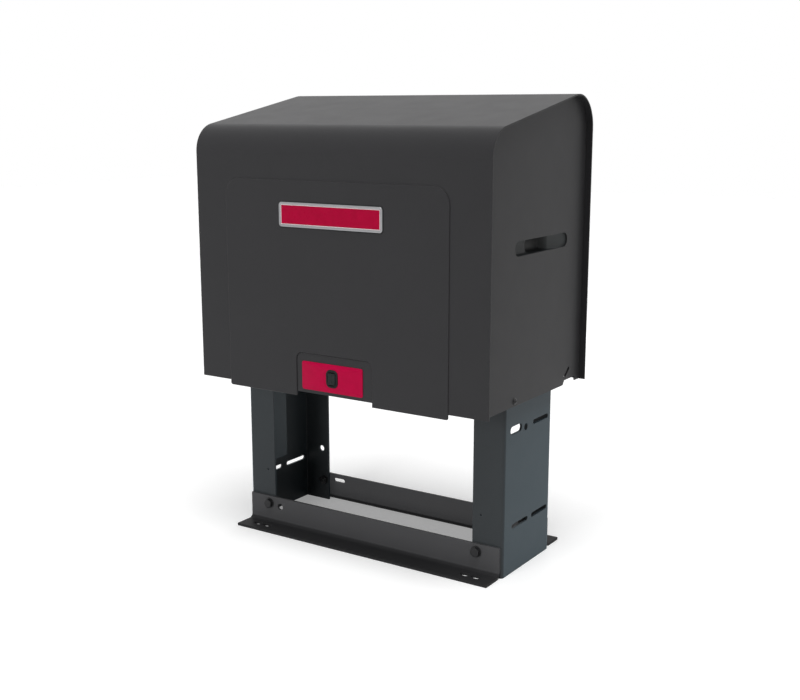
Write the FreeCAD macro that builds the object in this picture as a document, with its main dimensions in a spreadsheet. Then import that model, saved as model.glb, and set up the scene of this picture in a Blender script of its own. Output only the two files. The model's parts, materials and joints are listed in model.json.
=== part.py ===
"""Pad-mount slide-gate operator: steel stand, worm drive, control box and lift-off hood.

Frame: millimetres, +X to the right, +Y to the rear, +Z up.  The origin is on the floor at the
middle of the base, centred between the four corners of anchor slots.
"""
import FreeCAD, Part
import math
import os
import Sketcher

Vector = FreeCAD.Vector
doc = FreeCAD.newDocument("GateOperator")
os.makedirs("parts", exist_ok=True)

# Driving dimensions, in millimetres unless the name says teeth, turns, blades or degrees.
# A drop is measured down from the tops of the legs, a rise up from the hood's lower edge,
# an inset in from the part's outer edge, and a reach out from the stand's front or rear face.
DRIVING_SIZES = [
    # Stand: two channel legs
    ("StandWidth", 562), ("StandDepth", 176), ("StandSheet", 4), ("InsideBend", 2),
    ("LegHeight", 326), ("FlangeWidth", 60), ("LipDepth", 38), ("LipBottom", 131), ("LipTopDrop", 36),
    ("ChainPortDrop", 67), ("ChainLine", 46.5), ("ChainPortLength", 41), ("ChainPortWidth", 14),
    ("SideHoleDrop", 71), ("SideHoleLine", 11), ("SideHoleDiameter", 13), ("SideSlotWidth", 8.5),
    ("UpperSlotDrop", 69), ("UpperSlotLine", 45), ("UpperSlotLength", 58), ("LowerSlotHeight", 85),
    ("LowerFrontSlotLine", 27), ("LowerRearSlotLine", 47), ("LowerSlotLength", 60),
    ("FlangeHoleHeight", 108), ("FlangeHoleInset", 43), ("FlangeHoleDiameter", 12),
    ("FlangePilotDiameter", 4),
    # Base angles and anchor slots
    ("BaseEndInset", 4), ("FootWidth", 49), ("WebHeight", 56), ("AngleSheet", 5), ("AngleBend", 8),
    ("AnchorInset", 37), ("AnchorPitch", 22), ("AnchorReach", 26.5),
    ("AnchorSlotLength", 18), ("AnchorSlotWidth", 13),
    ("BaseBoltInset", 49), ("BaseBoltHeight", 42), ("BaseBoltDiameter", 10),
    ("WebHoleInset", 75), ("WebHoleHeight", 38), ("WebHoleDiameter", 13),
    ("WebSlotInset", 84), ("WebSlotHeight", 44), ("WebSlotLength", 28),
    # Deck between the legs
    ("DeckSheet", 4), ("DeckFlange", 28), ("DeckGap", 0.2), ("ChainSlotLine", 159),
    ("ChainSlotLength", 68), ("ChainSlotWidth", 26), ("DeckBoltLine", 50), ("DeckBoltDrop", 15),
    # Hood
    ("HoodOverhang", 24), ("HoodFrontReach", 99), ("HoodRearReach", 87), ("HoodDrop", 19),
    ("HoodFrontRise", 454), ("HoodRearRise", 526), ("HoodSheet", 2.5),
    ("FrontBendRadius", 50), ("RearBendRadius", 58), ("SidePanelInset", 12),
    ("PanelLeftInset", 68), ("PanelRightInset", 75), ("PanelDrop", 9), ("PanelRise", 369),
    ("PanelProud", 2), ("PanelCornerRadius", 30), ("PanelFootRadius", 4),
    ("NotchLeft", 82), ("NotchRight", 79), ("NotchRise", 70), ("NotchCornerRadius", 12),
    ("GripLine", 10), ("GripRise", 264), ("GripLength", 194), ("GripOpening", 25),
    ("GripDepth", 26), ("GripEntryDepth", 16), ("GripStepDepth", 12), ("GripWall", 2.5),
    ("GripEntryLength", 62), ("GripDeepStart", 82), ("GripDeepEnd", 125), ("GripStepEnd", 137),
    ("RearNotchFront", 104), ("RearNotchRear", 157), ("RearNotchRise", 8),
    ("SlitLine", 121), ("SlitRise", 21), ("SlitLength", 26), ("SlitWidth", 6), ("SlitSlope", 40),
    ("HoodScrewLine", 78), ("HoodScrewRise", 9), ("RestLength", 120), ("RestGap", 0.3),
    ("PlateLeft", 114), ("PlateRight", 103), ("PlateRise", 288.5), ("PlateHeight", 43),
    ("PlateThickness", 2), ("PlateRim", 4.5), ("PlateCornerRadius", 6),
    # Switch plate in the hood's notch
    ("BracketGap", 0.6), ("BracketSheet", 2), ("SwitchPlateLeft", 70), ("SwitchPlateRight", 60),
    ("SwitchPlateRise", 5), ("SwitchPlateHeight", 50.5), ("SwitchPlateSheet", 1.5),
    ("SwitchPlateRadius", 4), ("SwitchLine", -4.5), ("SwitchRise", 30.25), ("BezelWidth", 25),
    ("BezelHeight", 32), ("BezelProud", 2), ("BezelRim", 3), ("SwitchBodyDepth", 22),
    ("RockerGap", 1.2), ("RockerTilt", 8), ("RockerPivotInset", 5),
    # Worm drive
    ("CaseLift", 8), ("GearboxLine", 20), ("GearModule", 2.5), ("WheelTeeth", 40),
    ("WormPitchDiameter", 20), ("WormTurns", 5), ("WheelFace", 14), ("MeshBacklash", 0.35),
    ("CaseRim", 11), ("CaseWall", 8), ("CoverSheet", 8),
    ("OutputShaftDiameter", 25), ("OutputBearingDiameter", 52), ("OutputBearingWidth", 15),
    ("WormShaftDiameter", 17), ("WormBearingDiameter", 40), ("WormBearingWidth", 12),
    ("WormBearingLine", 44), ("BarrelWall", 5.5), ("RunningGap", 0.05), ("SideGap", 0.5),
    # Chain sprockets
    ("ChainPitch", 12.7), ("ChainRoller", 7.77), ("ChainWidth", 5.8),
    ("DriveTeeth", 16), ("IdlerTeeth", 10), ("IdlerInset", 31), ("IdlerAxleDiameter", 12),
    # Belt drive
    ("MotorPulleyRadius", 24), ("DrivenPulleyRadius", 72), ("BeltLine", 124), ("BeltTop", 12.7),
    ("BeltThickness", 8), ("GrooveAngle", 36), ("PulleyWidth", 19), ("BeltGap", 0.4),
    # Motor on its table
    ("TableLift", 54.5), ("TableHalfWidth", 95), ("TableFrontInset", 12), ("TableRearInset", 4),
    ("TableSheet", 4), ("MotorClearance", 6), ("MotorRadius", 66), ("MotorWall", 5),
    ("MotorLeft", 72), ("MotorRight", 58), ("EndBellDepth", 22), ("MotorShaftDiameter", 16),
    ("MotorBearingDiameter", 40), ("MotorBearingWidth", 12), ("RotorRadius", 35),
    ("AirGap", 0.5), ("FanCoverDepth", 43), ("FanBlades", 8),
    # Position encoder
    ("EncoderModule", 1.5), ("EncoderDriveTeeth", 30), ("EncoderTeeth", 20), ("EncoderFace", 8),
    ("EncoderGap", 8), ("EncoderBacklash", 0.25),
    # Control box and batteries
    ("BoxInset", 19), ("BoxRight", 110), ("BoxFront", 22), ("BoxRear", 138), ("BoxDrop", 2),
    ("BoxSheet", 2), ("DoorSheet", 2), ("DoorGap", 0.6), ("HingeRadius", 3), ("HingePinRadius", 1.5),
    ("BatteryWidth", 65), ("BatteryLength", 151), ("BatteryHeight", 94), ("BatteryInset", 21),
]

sheet = doc.addObject("Spreadsheet::Sheet", "Sizes")
for row, (alias, number) in enumerate(DRIVING_SIZES, start=1):
    sheet.set(f"A{row}", alias)
    sheet.set(f"B{row}", str(number))
    sheet.setAlias(f"B{row}", alias)
doc.recompute()


class Size:
    """A length that carries its number and the sheet formula that gives it."""

    def __init__(self, number, formula):
        self.number = float(number)
        self.formula = formula

    def joined(self, other, sign, result, swapped=False):
        parts = [self.formula, formula_of(other)]
        if swapped:
            parts.reverse()
        return Size(result, f"({parts[0]} {sign} {parts[1]})")

    def __add__(self, other):
        return self.joined(other, "+", self.number + number_of(other))

    def __radd__(self, other):
        return self.joined(other, "+", self.number + number_of(other), swapped=True)

    def __sub__(self, other):
        return self.joined(other, "-", self.number - number_of(other))

    def __rsub__(self, other):
        return self.joined(other, "-", number_of(other) - self.number, swapped=True)

    def __mul__(self, other):
        return self.joined(other, "*", self.number * number_of(other))

    def __rmul__(self, other):
        return self.joined(other, "*", self.number * number_of(other), swapped=True)

    def __truediv__(self, other):
        return self.joined(other, "/", self.number / number_of(other))

    def __neg__(self):
        return Size(-self.number, f"(-{self.formula})")


class Sizes:
    """Gives each driving dimension by its name."""

    def __getattr__(self, alias):
        return Size(sheet.get(alias), f"Sizes.{alias}")


def number_of(size):
    return size.number if isinstance(size, Size) else float(size)


def formula_of(size):
    return size.formula if isinstance(size, Size) else f"({float(size):.10g})"


def square_root(size):
    return Size(math.sqrt(size.number), f"sqrt({size.formula})")


def bind(item, name, size):
    """Set one property of an object, and keep it bound to the sheet."""
    if isinstance(size, Size):
        item.setExpression(name, size.formula)
    else:
        setattr(item, name, size)


S = Sizes()
nodes = {}


def node(name, item):
    """Register a finished sub-part under the name of its file."""
    item.Label = name
    nodes[name] = item
    return item


# Simple solids and booleans

def move(item, x, y, z, rotation=FreeCAD.Rotation()):
    item.Placement = FreeCAD.Placement(Vector(number_of(x), number_of(y), number_of(z)), rotation)
    for axis, size in zip("xyz", (x, y, z)):
        if isinstance(size, Size):
            item.setExpression(f".Placement.Base.{axis}", size.formula)
    return item


def block(name, x, y, z):
    """A box between two values on each axis."""
    item = doc.addObject("Part::Box", name)
    bind(item, "Length", x[1] - x[0])
    bind(item, "Width", y[1] - y[0])
    bind(item, "Height", z[1] - z[0])
    return move(item, x[0], y[0], z[0])


TURN_TO = {
    "X": FreeCAD.Rotation(Vector(0, 1, 0), 90),
    "Y": FreeCAD.Rotation(Vector(1, 0, 0), -90),
    "Z": FreeCAD.Rotation(),
}


def on_axis(axis, along, across):
    """The point at a distance along one axis, with the other two coordinates in order."""
    point = list(across)
    point.insert("XYZ".index(axis), along)
    return point


def rod(name, axis, span, across, radius, kind="Part::Cylinder"):
    """A cylinder along an axis, from span[0] to span[1], at the other two coordinates."""
    item = doc.addObject(kind, name)
    bind(item, "Radius", radius)
    bind(item, "Height", span[1] - span[0])
    return move(item, *on_axis(axis, span[0], across), TURN_TO[axis])


def hexagon(name, axis, span, across, flats):
    """A six-sided prism, as on a bolt head, with the given distance across flats."""
    item = doc.addObject("Part::Prism", name)
    item.Polygon = 6
    bind(item, "Circumradius", flats / math.sqrt(3))
    bind(item, "Height", span[1] - span[0])
    return move(item, *on_axis(axis, span[0], across), TURN_TO[axis])


def fuse(name, *items):
    item = doc.addObject("Part::MultiFuse", name)
    item.Shapes = list(items)
    return item


def cut(name, base, *tools):
    item = doc.addObject("Part::Cut", name)
    item.Base = base
    item.Tool = tools[0] if len(tools) == 1 else fuse(f"{name}_tools", *tools)
    return item


def group(name, *items):
    """Separate solids kept under one name."""
    item = doc.addObject("Part::Compound", name)
    item.Links = list(items)
    return item


# Bodies drawn from sketches

SKETCH_AXES = {"XY": (0, 1), "XZ": (0, 2), "YZ": (1, 2)}


class Piece:
    """A body whose sketches lie on its own origin planes, or parallel to them."""

    def __init__(self, name):
        self.body = doc.addObject("PartDesign::Body", name)
        self.name = name
        self.features = 0

    def feature(self, kind, word):
        self.features += 1
        return self.body.newObject(kind, f"{self.name}_{word}_{self.features}")

    def sketch(self, plane, level, loops):
        """Draw closed loops on a plane moved to a level along its axis."""
        sketch = self.feature("Sketcher::SketchObject", "sketch")
        role = f"{plane}_Plane"
        support = [item for item in self.body.Origin.OriginFeatures if item.Role == role]
        sketch.AttachmentSupport = [(support[0], "")]
        sketch.MapMode = "FlatFace"
        offset = -level if plane == "XZ" else level
        sketch.AttachmentOffset = FreeCAD.Placement(Vector(0, 0, number_of(offset)), FreeCAD.Rotation())
        if isinstance(offset, Size):
            sketch.setExpression(".AttachmentOffset.Base.z", offset.formula)
        for loop in loops:
            loop(sketch)
        return sketch

    def pad(self, plane, span, *loops):
        """Raise the loops from span[0] to span[1] along the plane's axis."""
        start = span[1] if plane == "XZ" else span[0]
        pad = self.feature("PartDesign::Pad", "pad")
        pad.Profile = self.sketch(plane, start, loops)
        bind(pad, "Length", span[1] - span[0])
        return self.done(pad)

    def pocket(self, plane, span, *loops):
        """Cut the loops away from span[0] to span[1] along the plane's axis."""
        start = span[0] if plane == "XZ" else span[1]
        pocket = self.feature("PartDesign::Pocket", "pocket")
        pocket.Profile = self.sketch(plane, start, loops)
        bind(pocket, "Length", span[1] - span[0])
        return self.done(pocket)

    def revolve(self, plane, *loops):
        """Turn the loops about the horizontal axis of their plane."""
        turned = self.feature("PartDesign::Revolution", "turned")
        sketch = self.sketch(plane, 0, loops)
        turned.Profile = sketch
        turned.ReferenceAxis = (sketch, ["H_Axis"])
        turned.Angle = 360
        return self.done(turned)

    def repeat(self, feature, count, axis="N_Axis"):
        """Repeat a feature evenly round the normal of its own sketch."""
        pattern = self.feature("PartDesign::PolarPattern", "pattern")
        pattern.Originals = [feature]
        pattern.Axis = (feature.Profile[0], [axis])
        pattern.Angle = 360
        bind(pattern, "Occurrences", count)
        self.body.Tip = pattern
        return self.done(pattern)

    def round(self, plane, points, radius):
        """Round the edges that stand on a plane at the given points."""
        base = self.body.Tip
        wanted = [tuple(number_of(size) for size in point) for point in points]
        names = standing_edges(base.Shape, plane, wanted)
        fillet = self.feature("PartDesign::Fillet", "bend")
        fillet.Base = (base, names)
        bind(fillet, "Radius", radius)
        return self.done(fillet)

    def soften(self, choose, radius):
        """Round the edges that a test picks out."""
        base = self.body.Tip
        names = [f"Edge{place}" for place, edge in enumerate(base.Shape.Edges, 1) if choose(edge)]
        fillet = self.feature("PartDesign::Fillet", "edge")
        fillet.Base = (base, names)
        bind(fillet, "Radius", radius)
        return self.done(fillet)

    def done(self, feature):
        doc.recompute()
        return feature


def standing_edges(shape, plane, points):
    """Names of the straight edges at right angles to a plane that pass through the points."""
    first, second = SKETCH_AXES[plane]
    names = []
    for place, edge in enumerate(shape.Edges, 1):
        if len(edge.Vertexes) != 2 or edge.Curve.TypeId != "Part::GeomLine":
            continue
        ends = [vertex.Point for vertex in edge.Vertexes]
        flat = [(end[first], end[second]) for end in ends]
        if math.dist(*flat) > 0.01:
            continue
        if any(math.dist(flat[0], point) < 0.01 for point in points):
            names.append(f"Edge{place}")
    return names


def fix(sketch, references):
    """Hold points of a sketch at distances from its origin, each bound to the sheet."""
    constraints = []
    formulas = []
    for index, vertex, point in references:
        for kind, size in zip(("DistanceX", "DistanceY"), point):
            constraints.append(Sketcher.Constraint(kind, -1, 1, index, vertex, number_of(size)))
            formulas.append(size)
    places = sketch.addConstraint(constraints)
    for place, size in zip(places, formulas):
        if isinstance(size, Size):
            sketch.setExpression(f"Constraints[{place}]", size.formula)


def outline(*points):
    """A closed loop of straight lines through the points."""
    def draw(sketch):
        first = sketch.GeometryCount
        corners = [Vector(number_of(x), number_of(y), 0) for x, y in points]
        count = len(corners)
        sketch.addGeometry([Part.LineSegment(corners[i], corners[(i + 1) % count]) for i in range(count)])
        sketch.addConstraint([
            Sketcher.Constraint("Coincident", first + i, 2, first + (i + 1) % count, 1)
            for i in range(count)
        ])
        fix(sketch, [(first + i, 1, point) for i, point in enumerate(points)])
    return draw


def rectangle(x, y):
    return outline((x[0], y[0]), (x[1], y[0]), (x[1], y[1]), (x[0], y[1]))


def circle(centre, radius):
    def draw(sketch):
        place = sketch.GeometryCount
        middle = Vector(number_of(centre[0]), number_of(centre[1]), 0)
        sketch.addGeometry(Part.Circle(middle, Vector(0, 0, 1), number_of(radius)))
        fix(sketch, [(place, 3, centre)])
        index = sketch.addConstraint(Sketcher.Constraint("Radius", place, number_of(radius)))
        if isinstance(radius, Size):
            sketch.setExpression(f"Constraints[{index}]", radius.formula)
    return draw


def slot(centre, length, width, slope=0):
    """A round-ended slot, its long side turned by a slope in degrees from horizontal."""
    def draw(sketch):
        first = sketch.GeometryCount
        radius = width / 2
        reach = (length - width) / 2
        angle = math.radians(slope)
        ends = []
        for side in (-1, 1):
            along = side * math.cos(angle)
            up_slope = side * math.sin(angle)
            ends.append((centre[0] + along * reach, centre[1] + up_slope * reach))
        radius_number = number_of(radius)
        middles = [Vector(number_of(x), number_of(y), 0) for x, y in ends]
        side = Vector(-math.sin(angle), math.cos(angle), 0) * radius_number
        up = Vector(0, 0, 1)
        caps = [Part.Circle(middle, up, radius_number) for middle in middles]
        quarter = math.pi / 2
        sketch.addGeometry([
            Part.ArcOfCircle(caps[0], angle + quarter, angle + 3 * quarter),
            Part.LineSegment(middles[0] - side, middles[1] - side),
            Part.ArcOfCircle(caps[1], angle - quarter, angle + quarter),
            Part.LineSegment(middles[1] + side, middles[0] + side),
        ])
        joins = [(0, 2, 1, 1), (1, 2, 2, 1), (2, 2, 3, 1), (3, 2, 0, 1)]
        tangents = [Sketcher.Constraint("Tangent", first + a, i, first + b, j) for a, i, b, j in joins]
        tangents.append(Sketcher.Constraint("Equal", first, first + 2))
        sketch.addConstraint(tangents)
        fix(sketch, [(first, 3, ends[0]), (first + 2, 3, ends[1])])
        index = sketch.addConstraint(Sketcher.Constraint("Radius", first, radius_number))
        if isinstance(radius, Size):
            sketch.setExpression(f"Constraints[{index}]", radius.formula)
    return draw


# Stand

HALF_WIDTH = S.StandWidth / 2
HALF_DEPTH = S.StandDepth / 2
PLATE_FACE = HALF_WIDTH - S.StandSheet
FLANGE_EDGE = HALF_WIDTH - S.FlangeWidth
PORT_HEIGHT = S.LegHeight - S.ChainPortDrop
BASE_BOLT_LINE = HALF_WIDTH - S.BaseBoltInset
DECK_BOLT_HEIGHT = S.LegHeight - S.DeckBoltDrop
OUTER_BEND = S.InsideBend + S.StandSheet
CUT_MARGIN = 3


def leg(name, side):
    """A channel leg: side plate, two flanges and a return lip, with its slots.

    side is +1 for the right leg and -1 for the left one.
    """
    outer = side * HALF_WIDTH
    inner = side * PLATE_FACE
    edge = side * FLANGE_EDGE
    lip = side * (FLANGE_EDGE + S.StandSheet)
    front = -HALF_DEPTH
    front_inner = front + S.StandSheet
    rear_inner = HALF_DEPTH - S.StandSheet
    piece = Piece(name)
    piece.pad("XY", (0, S.LegHeight), outline(
        (outer, front), (outer, HALF_DEPTH), (edge, HALF_DEPTH), (edge, rear_inner),
        (inner, rear_inner), (inner, front_inner), (edge, front_inner), (edge, front)))
    piece.round("XY", [(outer, front), (outer, HALF_DEPTH)], OUTER_BEND)
    piece.round("XY", [(inner, front_inner), (inner, rear_inner)], S.InsideBend)
    lip_span = (min(edge, lip, key=number_of), max(edge, lip, key=number_of))
    piece.pad("XY", (S.LipBottom, S.LegHeight - S.LipTopDrop), rectangle(lip_span, (front, front + S.LipDepth)))
    holes = [
        slot((-S.ChainLine, PORT_HEIGHT), S.ChainPortLength, S.ChainPortWidth),
        circle((-S.SideHoleLine, S.LegHeight - S.SideHoleDrop), S.SideHoleDiameter / 2),
        slot((S.UpperSlotLine, S.LegHeight - S.UpperSlotDrop), S.UpperSlotLength, S.SideSlotWidth),
        slot((-S.LowerFrontSlotLine, S.LowerSlotHeight), S.LowerSlotLength, S.SideSlotWidth),
        slot((S.LowerRearSlotLine, S.LowerSlotHeight), S.LowerSlotLength, S.SideSlotWidth),
    ]
    for line in (-S.DeckBoltLine, S.DeckBoltLine):
        holes.append(circle((line, DECK_BOLT_HEIGHT), DECK_BOLT / 2 + BOLT_GAP))
    span = (min(outer, inner, key=number_of) - CUT_MARGIN, max(outer, inner, key=number_of) + CUT_MARGIN)
    piece.pocket("YZ", span, *holes)
    column = side * (HALF_WIDTH - S.FlangeHoleInset)
    bolt_line = side * BASE_BOLT_LINE
    front_span = (front - CUT_MARGIN, front_inner + CUT_MARGIN)
    rear_span = (rear_inner - CUT_MARGIN, HALF_DEPTH + CUT_MARGIN)
    bolt_hole = circle((bolt_line, S.BaseBoltHeight), S.BaseBoltDiameter / 2 + BOLT_GAP)
    pilot = circle((column, S.FlangeHoleHeight), S.FlangePilotDiameter / 2)
    conduit_hole = circle((column, S.FlangeHoleHeight), S.FlangeHoleDiameter / 2)
    piece.pocket("XZ", front_span, pilot, bolt_hole)
    piece.pocket("XZ", rear_span, conduit_hole, bolt_hole)
    node(name, piece.body)


def base_angle(name, side):
    """A bent angle along the foot of both legs; side is -1 at the front and +1 at the rear."""
    web_inner = side * HALF_DEPTH
    web_outer = side * (HALF_DEPTH + S.AngleSheet)
    toe = side * (HALF_DEPTH + S.FootWidth)
    reach = HALF_WIDTH - S.BaseEndInset
    ends = (-reach, reach)
    piece = Piece(name)
    piece.pad("YZ", ends, outline(
        (web_inner, 0), (web_inner, S.WebHeight), (web_outer, S.WebHeight),
        (web_outer, S.AngleSheet), (toe, S.AngleSheet), (toe, 0)))
    piece.round("YZ", [(web_outer, S.AngleSheet)], S.AngleBend)
    piece.round("YZ", [(web_inner, 0)], S.AngleBend + S.AngleSheet)
    slots = []
    anchor_y = side * (HALF_DEPTH + S.AnchorReach)
    outer_anchor = HALF_WIDTH - S.AnchorInset
    for end in (-1, 1):
        for line in (outer_anchor, outer_anchor - S.AnchorPitch):
            slots.append(slot((end * line, anchor_y), S.AnchorSlotLength, S.AnchorSlotWidth))
    piece.pocket("XY", (-CUT_MARGIN, S.AngleSheet + CUT_MARGIN), *slots)
    holes = []
    for end in (-1, 1):
        holes.append(circle((end * BASE_BOLT_LINE, S.BaseBoltHeight), S.BaseBoltDiameter / 2 + BOLT_GAP))
    if side < 0:
        holes.append(circle((S.WebHoleInset - HALF_WIDTH, S.WebHoleHeight), S.WebHoleDiameter / 2))
    else:
        web_slot = (S.WebSlotInset - HALF_WIDTH, S.WebSlotHeight)
        holes.append(slot(web_slot, S.WebSlotLength, S.SideSlotWidth))
    faces = sorted((web_inner, web_outer), key=number_of)
    piece.pocket("XZ", (faces[0] - CUT_MARGIN, faces[1] + CUT_MARGIN), *holes)
    node(name, piece.body)


DECK_BOLT = 8
BOLT_GAP = 0.5
HEAD_SHARE = 0.65
FLATS_SHARE = 1.6


def bolt(name, axis, head, tail, across, diameter, nut=None):
    """A hexagon bolt whose head sits at one point on an axis and whose shank ends at another.

    nut is the point where a nut's near face lies, if the bolt has one.
    """
    way = 1 if number_of(tail) > number_of(head) else -1
    thick = diameter * HEAD_SHARE
    back = head - way * thick
    head_span = (back, head) if way > 0 else (head, back)
    shank_span = (head, tail) if way > 0 else (tail, head)
    pieces = [
        hexagon(f"{name}_head", axis, head_span, across, diameter * FLATS_SHARE),
        rod(f"{name}_shank", axis, shank_span, across, diameter / 2),
    ]
    if nut is not None:
        nut_span = (nut, nut + thick) if way > 0 else (nut - thick, nut)
        pieces.append(hexagon(f"{name}_nut", axis, nut_span, across, diameter * FLATS_SHARE))
    return fuse(name, *pieces)


def stand_bolts():
    """Bolts through the base angles and leg flanges, and through the legs into the deck."""
    bolts = []
    for end in (-1, 1):
        for side in (-1, 1):
            face = side * (HALF_DEPTH + S.AngleSheet)
            inside = side * (HALF_DEPTH - S.StandSheet)
            tail = inside - side * S.BaseBoltDiameter
            across = (end * BASE_BOLT_LINE, S.BaseBoltHeight)
            name = f"base_bolt_{end + 1}_{side + 1}"
            bolts.append(bolt(name, "Y", face, tail, across, S.BaseBoltDiameter, nut=inside))
            deck_inside = end * (PLATE_FACE - S.DeckGap - S.DeckSheet)
            deck_tail = deck_inside - end * DECK_BOLT
            across = (side * S.DeckBoltLine, DECK_BOLT_HEIGHT)
            name = f"deck_bolt_{end + 1}_{side + 1}"
            bolts.append(bolt(name, "X", end * HALF_WIDTH, deck_tail, across, DECK_BOLT, nut=deck_inside))
    node("stand_bolts", group("stand_bolts", *bolts))


DECK_TOP = S.LegHeight
DECK_LOW = DECK_TOP - S.DeckSheet - S.DeckFlange


def chassis_deck():
    """A tray across the top of the legs, with slots where the chain rises to its sprocket."""
    reach = PLATE_FACE - S.DeckGap
    depth = HALF_DEPTH - S.StandSheet - S.DeckGap
    piece = Piece("chassis_deck")
    piece.pad("XY", (DECK_LOW, DECK_TOP), rectangle((-reach, reach), (-depth, depth)))
    piece.round("XY", [(x, y) for x in (-reach, reach) for y in (-depth, depth)], S.InsideBend + S.DeckGap)
    inner_reach = reach - S.DeckSheet
    inner_depth = depth - S.DeckSheet
    inside = rectangle((-inner_reach, inner_reach), (-inner_depth, inner_depth))
    piece.pocket("XY", (DECK_LOW - CUT_MARGIN, DECK_TOP - S.DeckSheet), inside)
    slots = []
    for end in (-1, 1):
        slots.append(slot((end * S.ChainSlotLine, -S.ChainLine), S.ChainSlotLength, S.ChainSlotWidth))
    piece.pocket("XY", (DECK_TOP - S.DeckSheet - CUT_MARGIN, DECK_TOP + CUT_MARGIN), *slots)
    holes = []
    for line in (-S.DeckBoltLine, S.DeckBoltLine):
        holes.append(circle((line, DECK_BOLT_HEIGHT), DECK_BOLT / 2 + BOLT_GAP))
    piece.pocket("YZ", (-reach - CUT_MARGIN, reach + CUT_MARGIN), *holes)
    node("chassis_deck", piece.body)


# Chain sprockets and idlers

def roller_circle(teeth):
    """Radius of the circle through the roller centres of a chain on a sprocket."""
    return S.ChainPitch / (2 * math.sin(math.pi / teeth.number))


def tip_circle(teeth):
    """Outer radius of a standard roller-chain sprocket."""
    return S.ChainPitch * ((0.6 + 1 / math.tan(math.pi / teeth.number)) / 2)


def tooth_gap(teeth):
    """One gap between sprocket teeth: the roller's seat, opening out to the tips."""
    pitch_radius = roller_circle(teeth).number
    seat = S.ChainRoller.number / 2 + ROLLER_PLAY
    tip = tip_circle(teeth).number
    half_angle = math.radians(70 - 45 / teeth.number)
    low = Vector(seat * math.sin(half_angle), pitch_radius - seat * math.cos(half_angle), 0)
    gap_half = math.pi * tip / teeth.number * GAP_SHARE
    high = Vector(gap_half, tip + 1, 0)

    def draw(sketch):
        first = sketch.GeometryCount
        mirrored_low = Vector(-low.x, low.y, 0)
        mirrored_high = Vector(-high.x, high.y, 0)
        seat_arc = Part.Arc(mirrored_low, Vector(0, pitch_radius - seat, 0), low)
        sketch.addGeometry([
            seat_arc,
            Part.LineSegment(low, high),
            Part.LineSegment(high, mirrored_high),
            Part.LineSegment(mirrored_high, mirrored_low),
        ])
        starts = {0: 1 if sketch.getPoint(first, 1).x < 0 else 2}
        ends = {0: 3 - starts[0]}
        joins = [(0, ends[0], 1, 1), (1, 2, 2, 1), (2, 2, 3, 1), (3, 2, 0, starts[0])]
        for a, i, b, j in joins:
            sketch.addConstraint(Sketcher.Constraint("Coincident", first + a, i, first + b, j))
        sketch.addConstraint([Sketcher.Constraint("Block", first + place) for place in range(4)])
    return draw


ROLLER_PLAY = 0.12
GAP_SHARE = 0.72


def sprocket(name, teeth, bore, hub_radius, hub_front, hub_rear, at):
    """A roller-chain sprocket on the chain line, with a hub reaching both ways along Y."""
    piece = Piece(name)
    half = S.ChainWidth / 2
    piece.pad("XZ", (-half, half), circle((0, 0), tip_circle(teeth)))
    gap = piece.pocket("XZ", (-half - CUT_MARGIN, half + CUT_MARGIN), tooth_gap(teeth))
    piece.repeat(gap, teeth)
    piece.pad("XZ", (-hub_front, hub_rear), circle((0, 0), hub_radius))
    piece.pocket("XZ", (-hub_front - CUT_MARGIN, hub_rear + CUT_MARGIN), circle((0, 0), bore))
    move(piece.body, at[0], -S.ChainLine, at[1])
    return piece


IDLER_LINE = HALF_WIDTH - S.IdlerInset
IDLER_HEIGHT = PORT_HEIGHT + roller_circle(S.IdlerTeeth)
IDLER_HUB = 10.5
IDLER_HUB_REACH = 6
ARM_SHEET = 4
ARM_GAP = 0.5
ARM_FRONT = -S.ChainLine + IDLER_HUB_REACH + ARM_GAP
ARM_BOTTOM = PORT_HEIGHT + S.ChainPortWidth / 2 + 2.5
ARM_TOP = DECK_LOW - 2


def idlers():
    """Two idler sprockets that guide the chain in through the ports, each on its own axle."""
    brackets = []
    axles = []
    for side, word in ((-1, "left"), (1, "right")):
        axle_radius = S.IdlerAxleDiameter / 2
        centre = (side * IDLER_LINE, IDLER_HEIGHT)
        piece = sprocket(f"{word}_idler_sprocket", S.IdlerTeeth, axle_radius + S.RunningGap,
                         IDLER_HUB, IDLER_HUB_REACH, IDLER_HUB_REACH, centre)
        node(f"{word}_idler_sprocket", piece.body)
        wall = side * PLATE_FACE
        wall_inner = side * (PLATE_FACE - ARM_SHEET)
        arm_end = side * (FLANGE_EDGE + 2 * ARM_SHEET)
        xs = sorted((wall, arm_end), key=number_of)
        tab_xs = sorted((wall, wall_inner), key=number_of)
        arm = block(f"{word}_arm", xs, (ARM_FRONT, ARM_FRONT + ARM_SHEET), (ARM_BOTTOM, ARM_TOP))
        tab = block(f"{word}_tab", tab_xs, (ARM_FRONT, ARM_FRONT + 7 * ARM_SHEET), (ARM_BOTTOM, ARM_TOP))
        hole = rod(f"{word}_arm_hole", "Y", (ARM_FRONT - 1, ARM_FRONT + ARM_SHEET + 1), centre, axle_radius)
        brackets.append(cut(f"{word}_idler_bracket", fuse(f"{word}_arm_and_tab", arm, tab), hole))
        front = -S.ChainLine - IDLER_HUB_REACH - ARM_GAP
        rear = ARM_FRONT + ARM_SHEET
        shank = rod(f"{word}_axle_shank", "Y", (front, rear), centre, axle_radius)
        head = rod(f"{word}_axle_head", "Y", (front - ARM_SHEET, front), centre, S.IdlerAxleDiameter * 0.75)
        nut = hexagon(f"{word}_axle_nut", "Y", (rear, rear + 6), centre, S.IdlerAxleDiameter * 1.5)
        axles.append(fuse(f"{word}_idler_axle", shank, head, nut))
    node("idler_brackets", group("idler_brackets", *brackets))
    node("idler_axles", group("idler_axles", *axles))


# Worm gearbox

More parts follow.
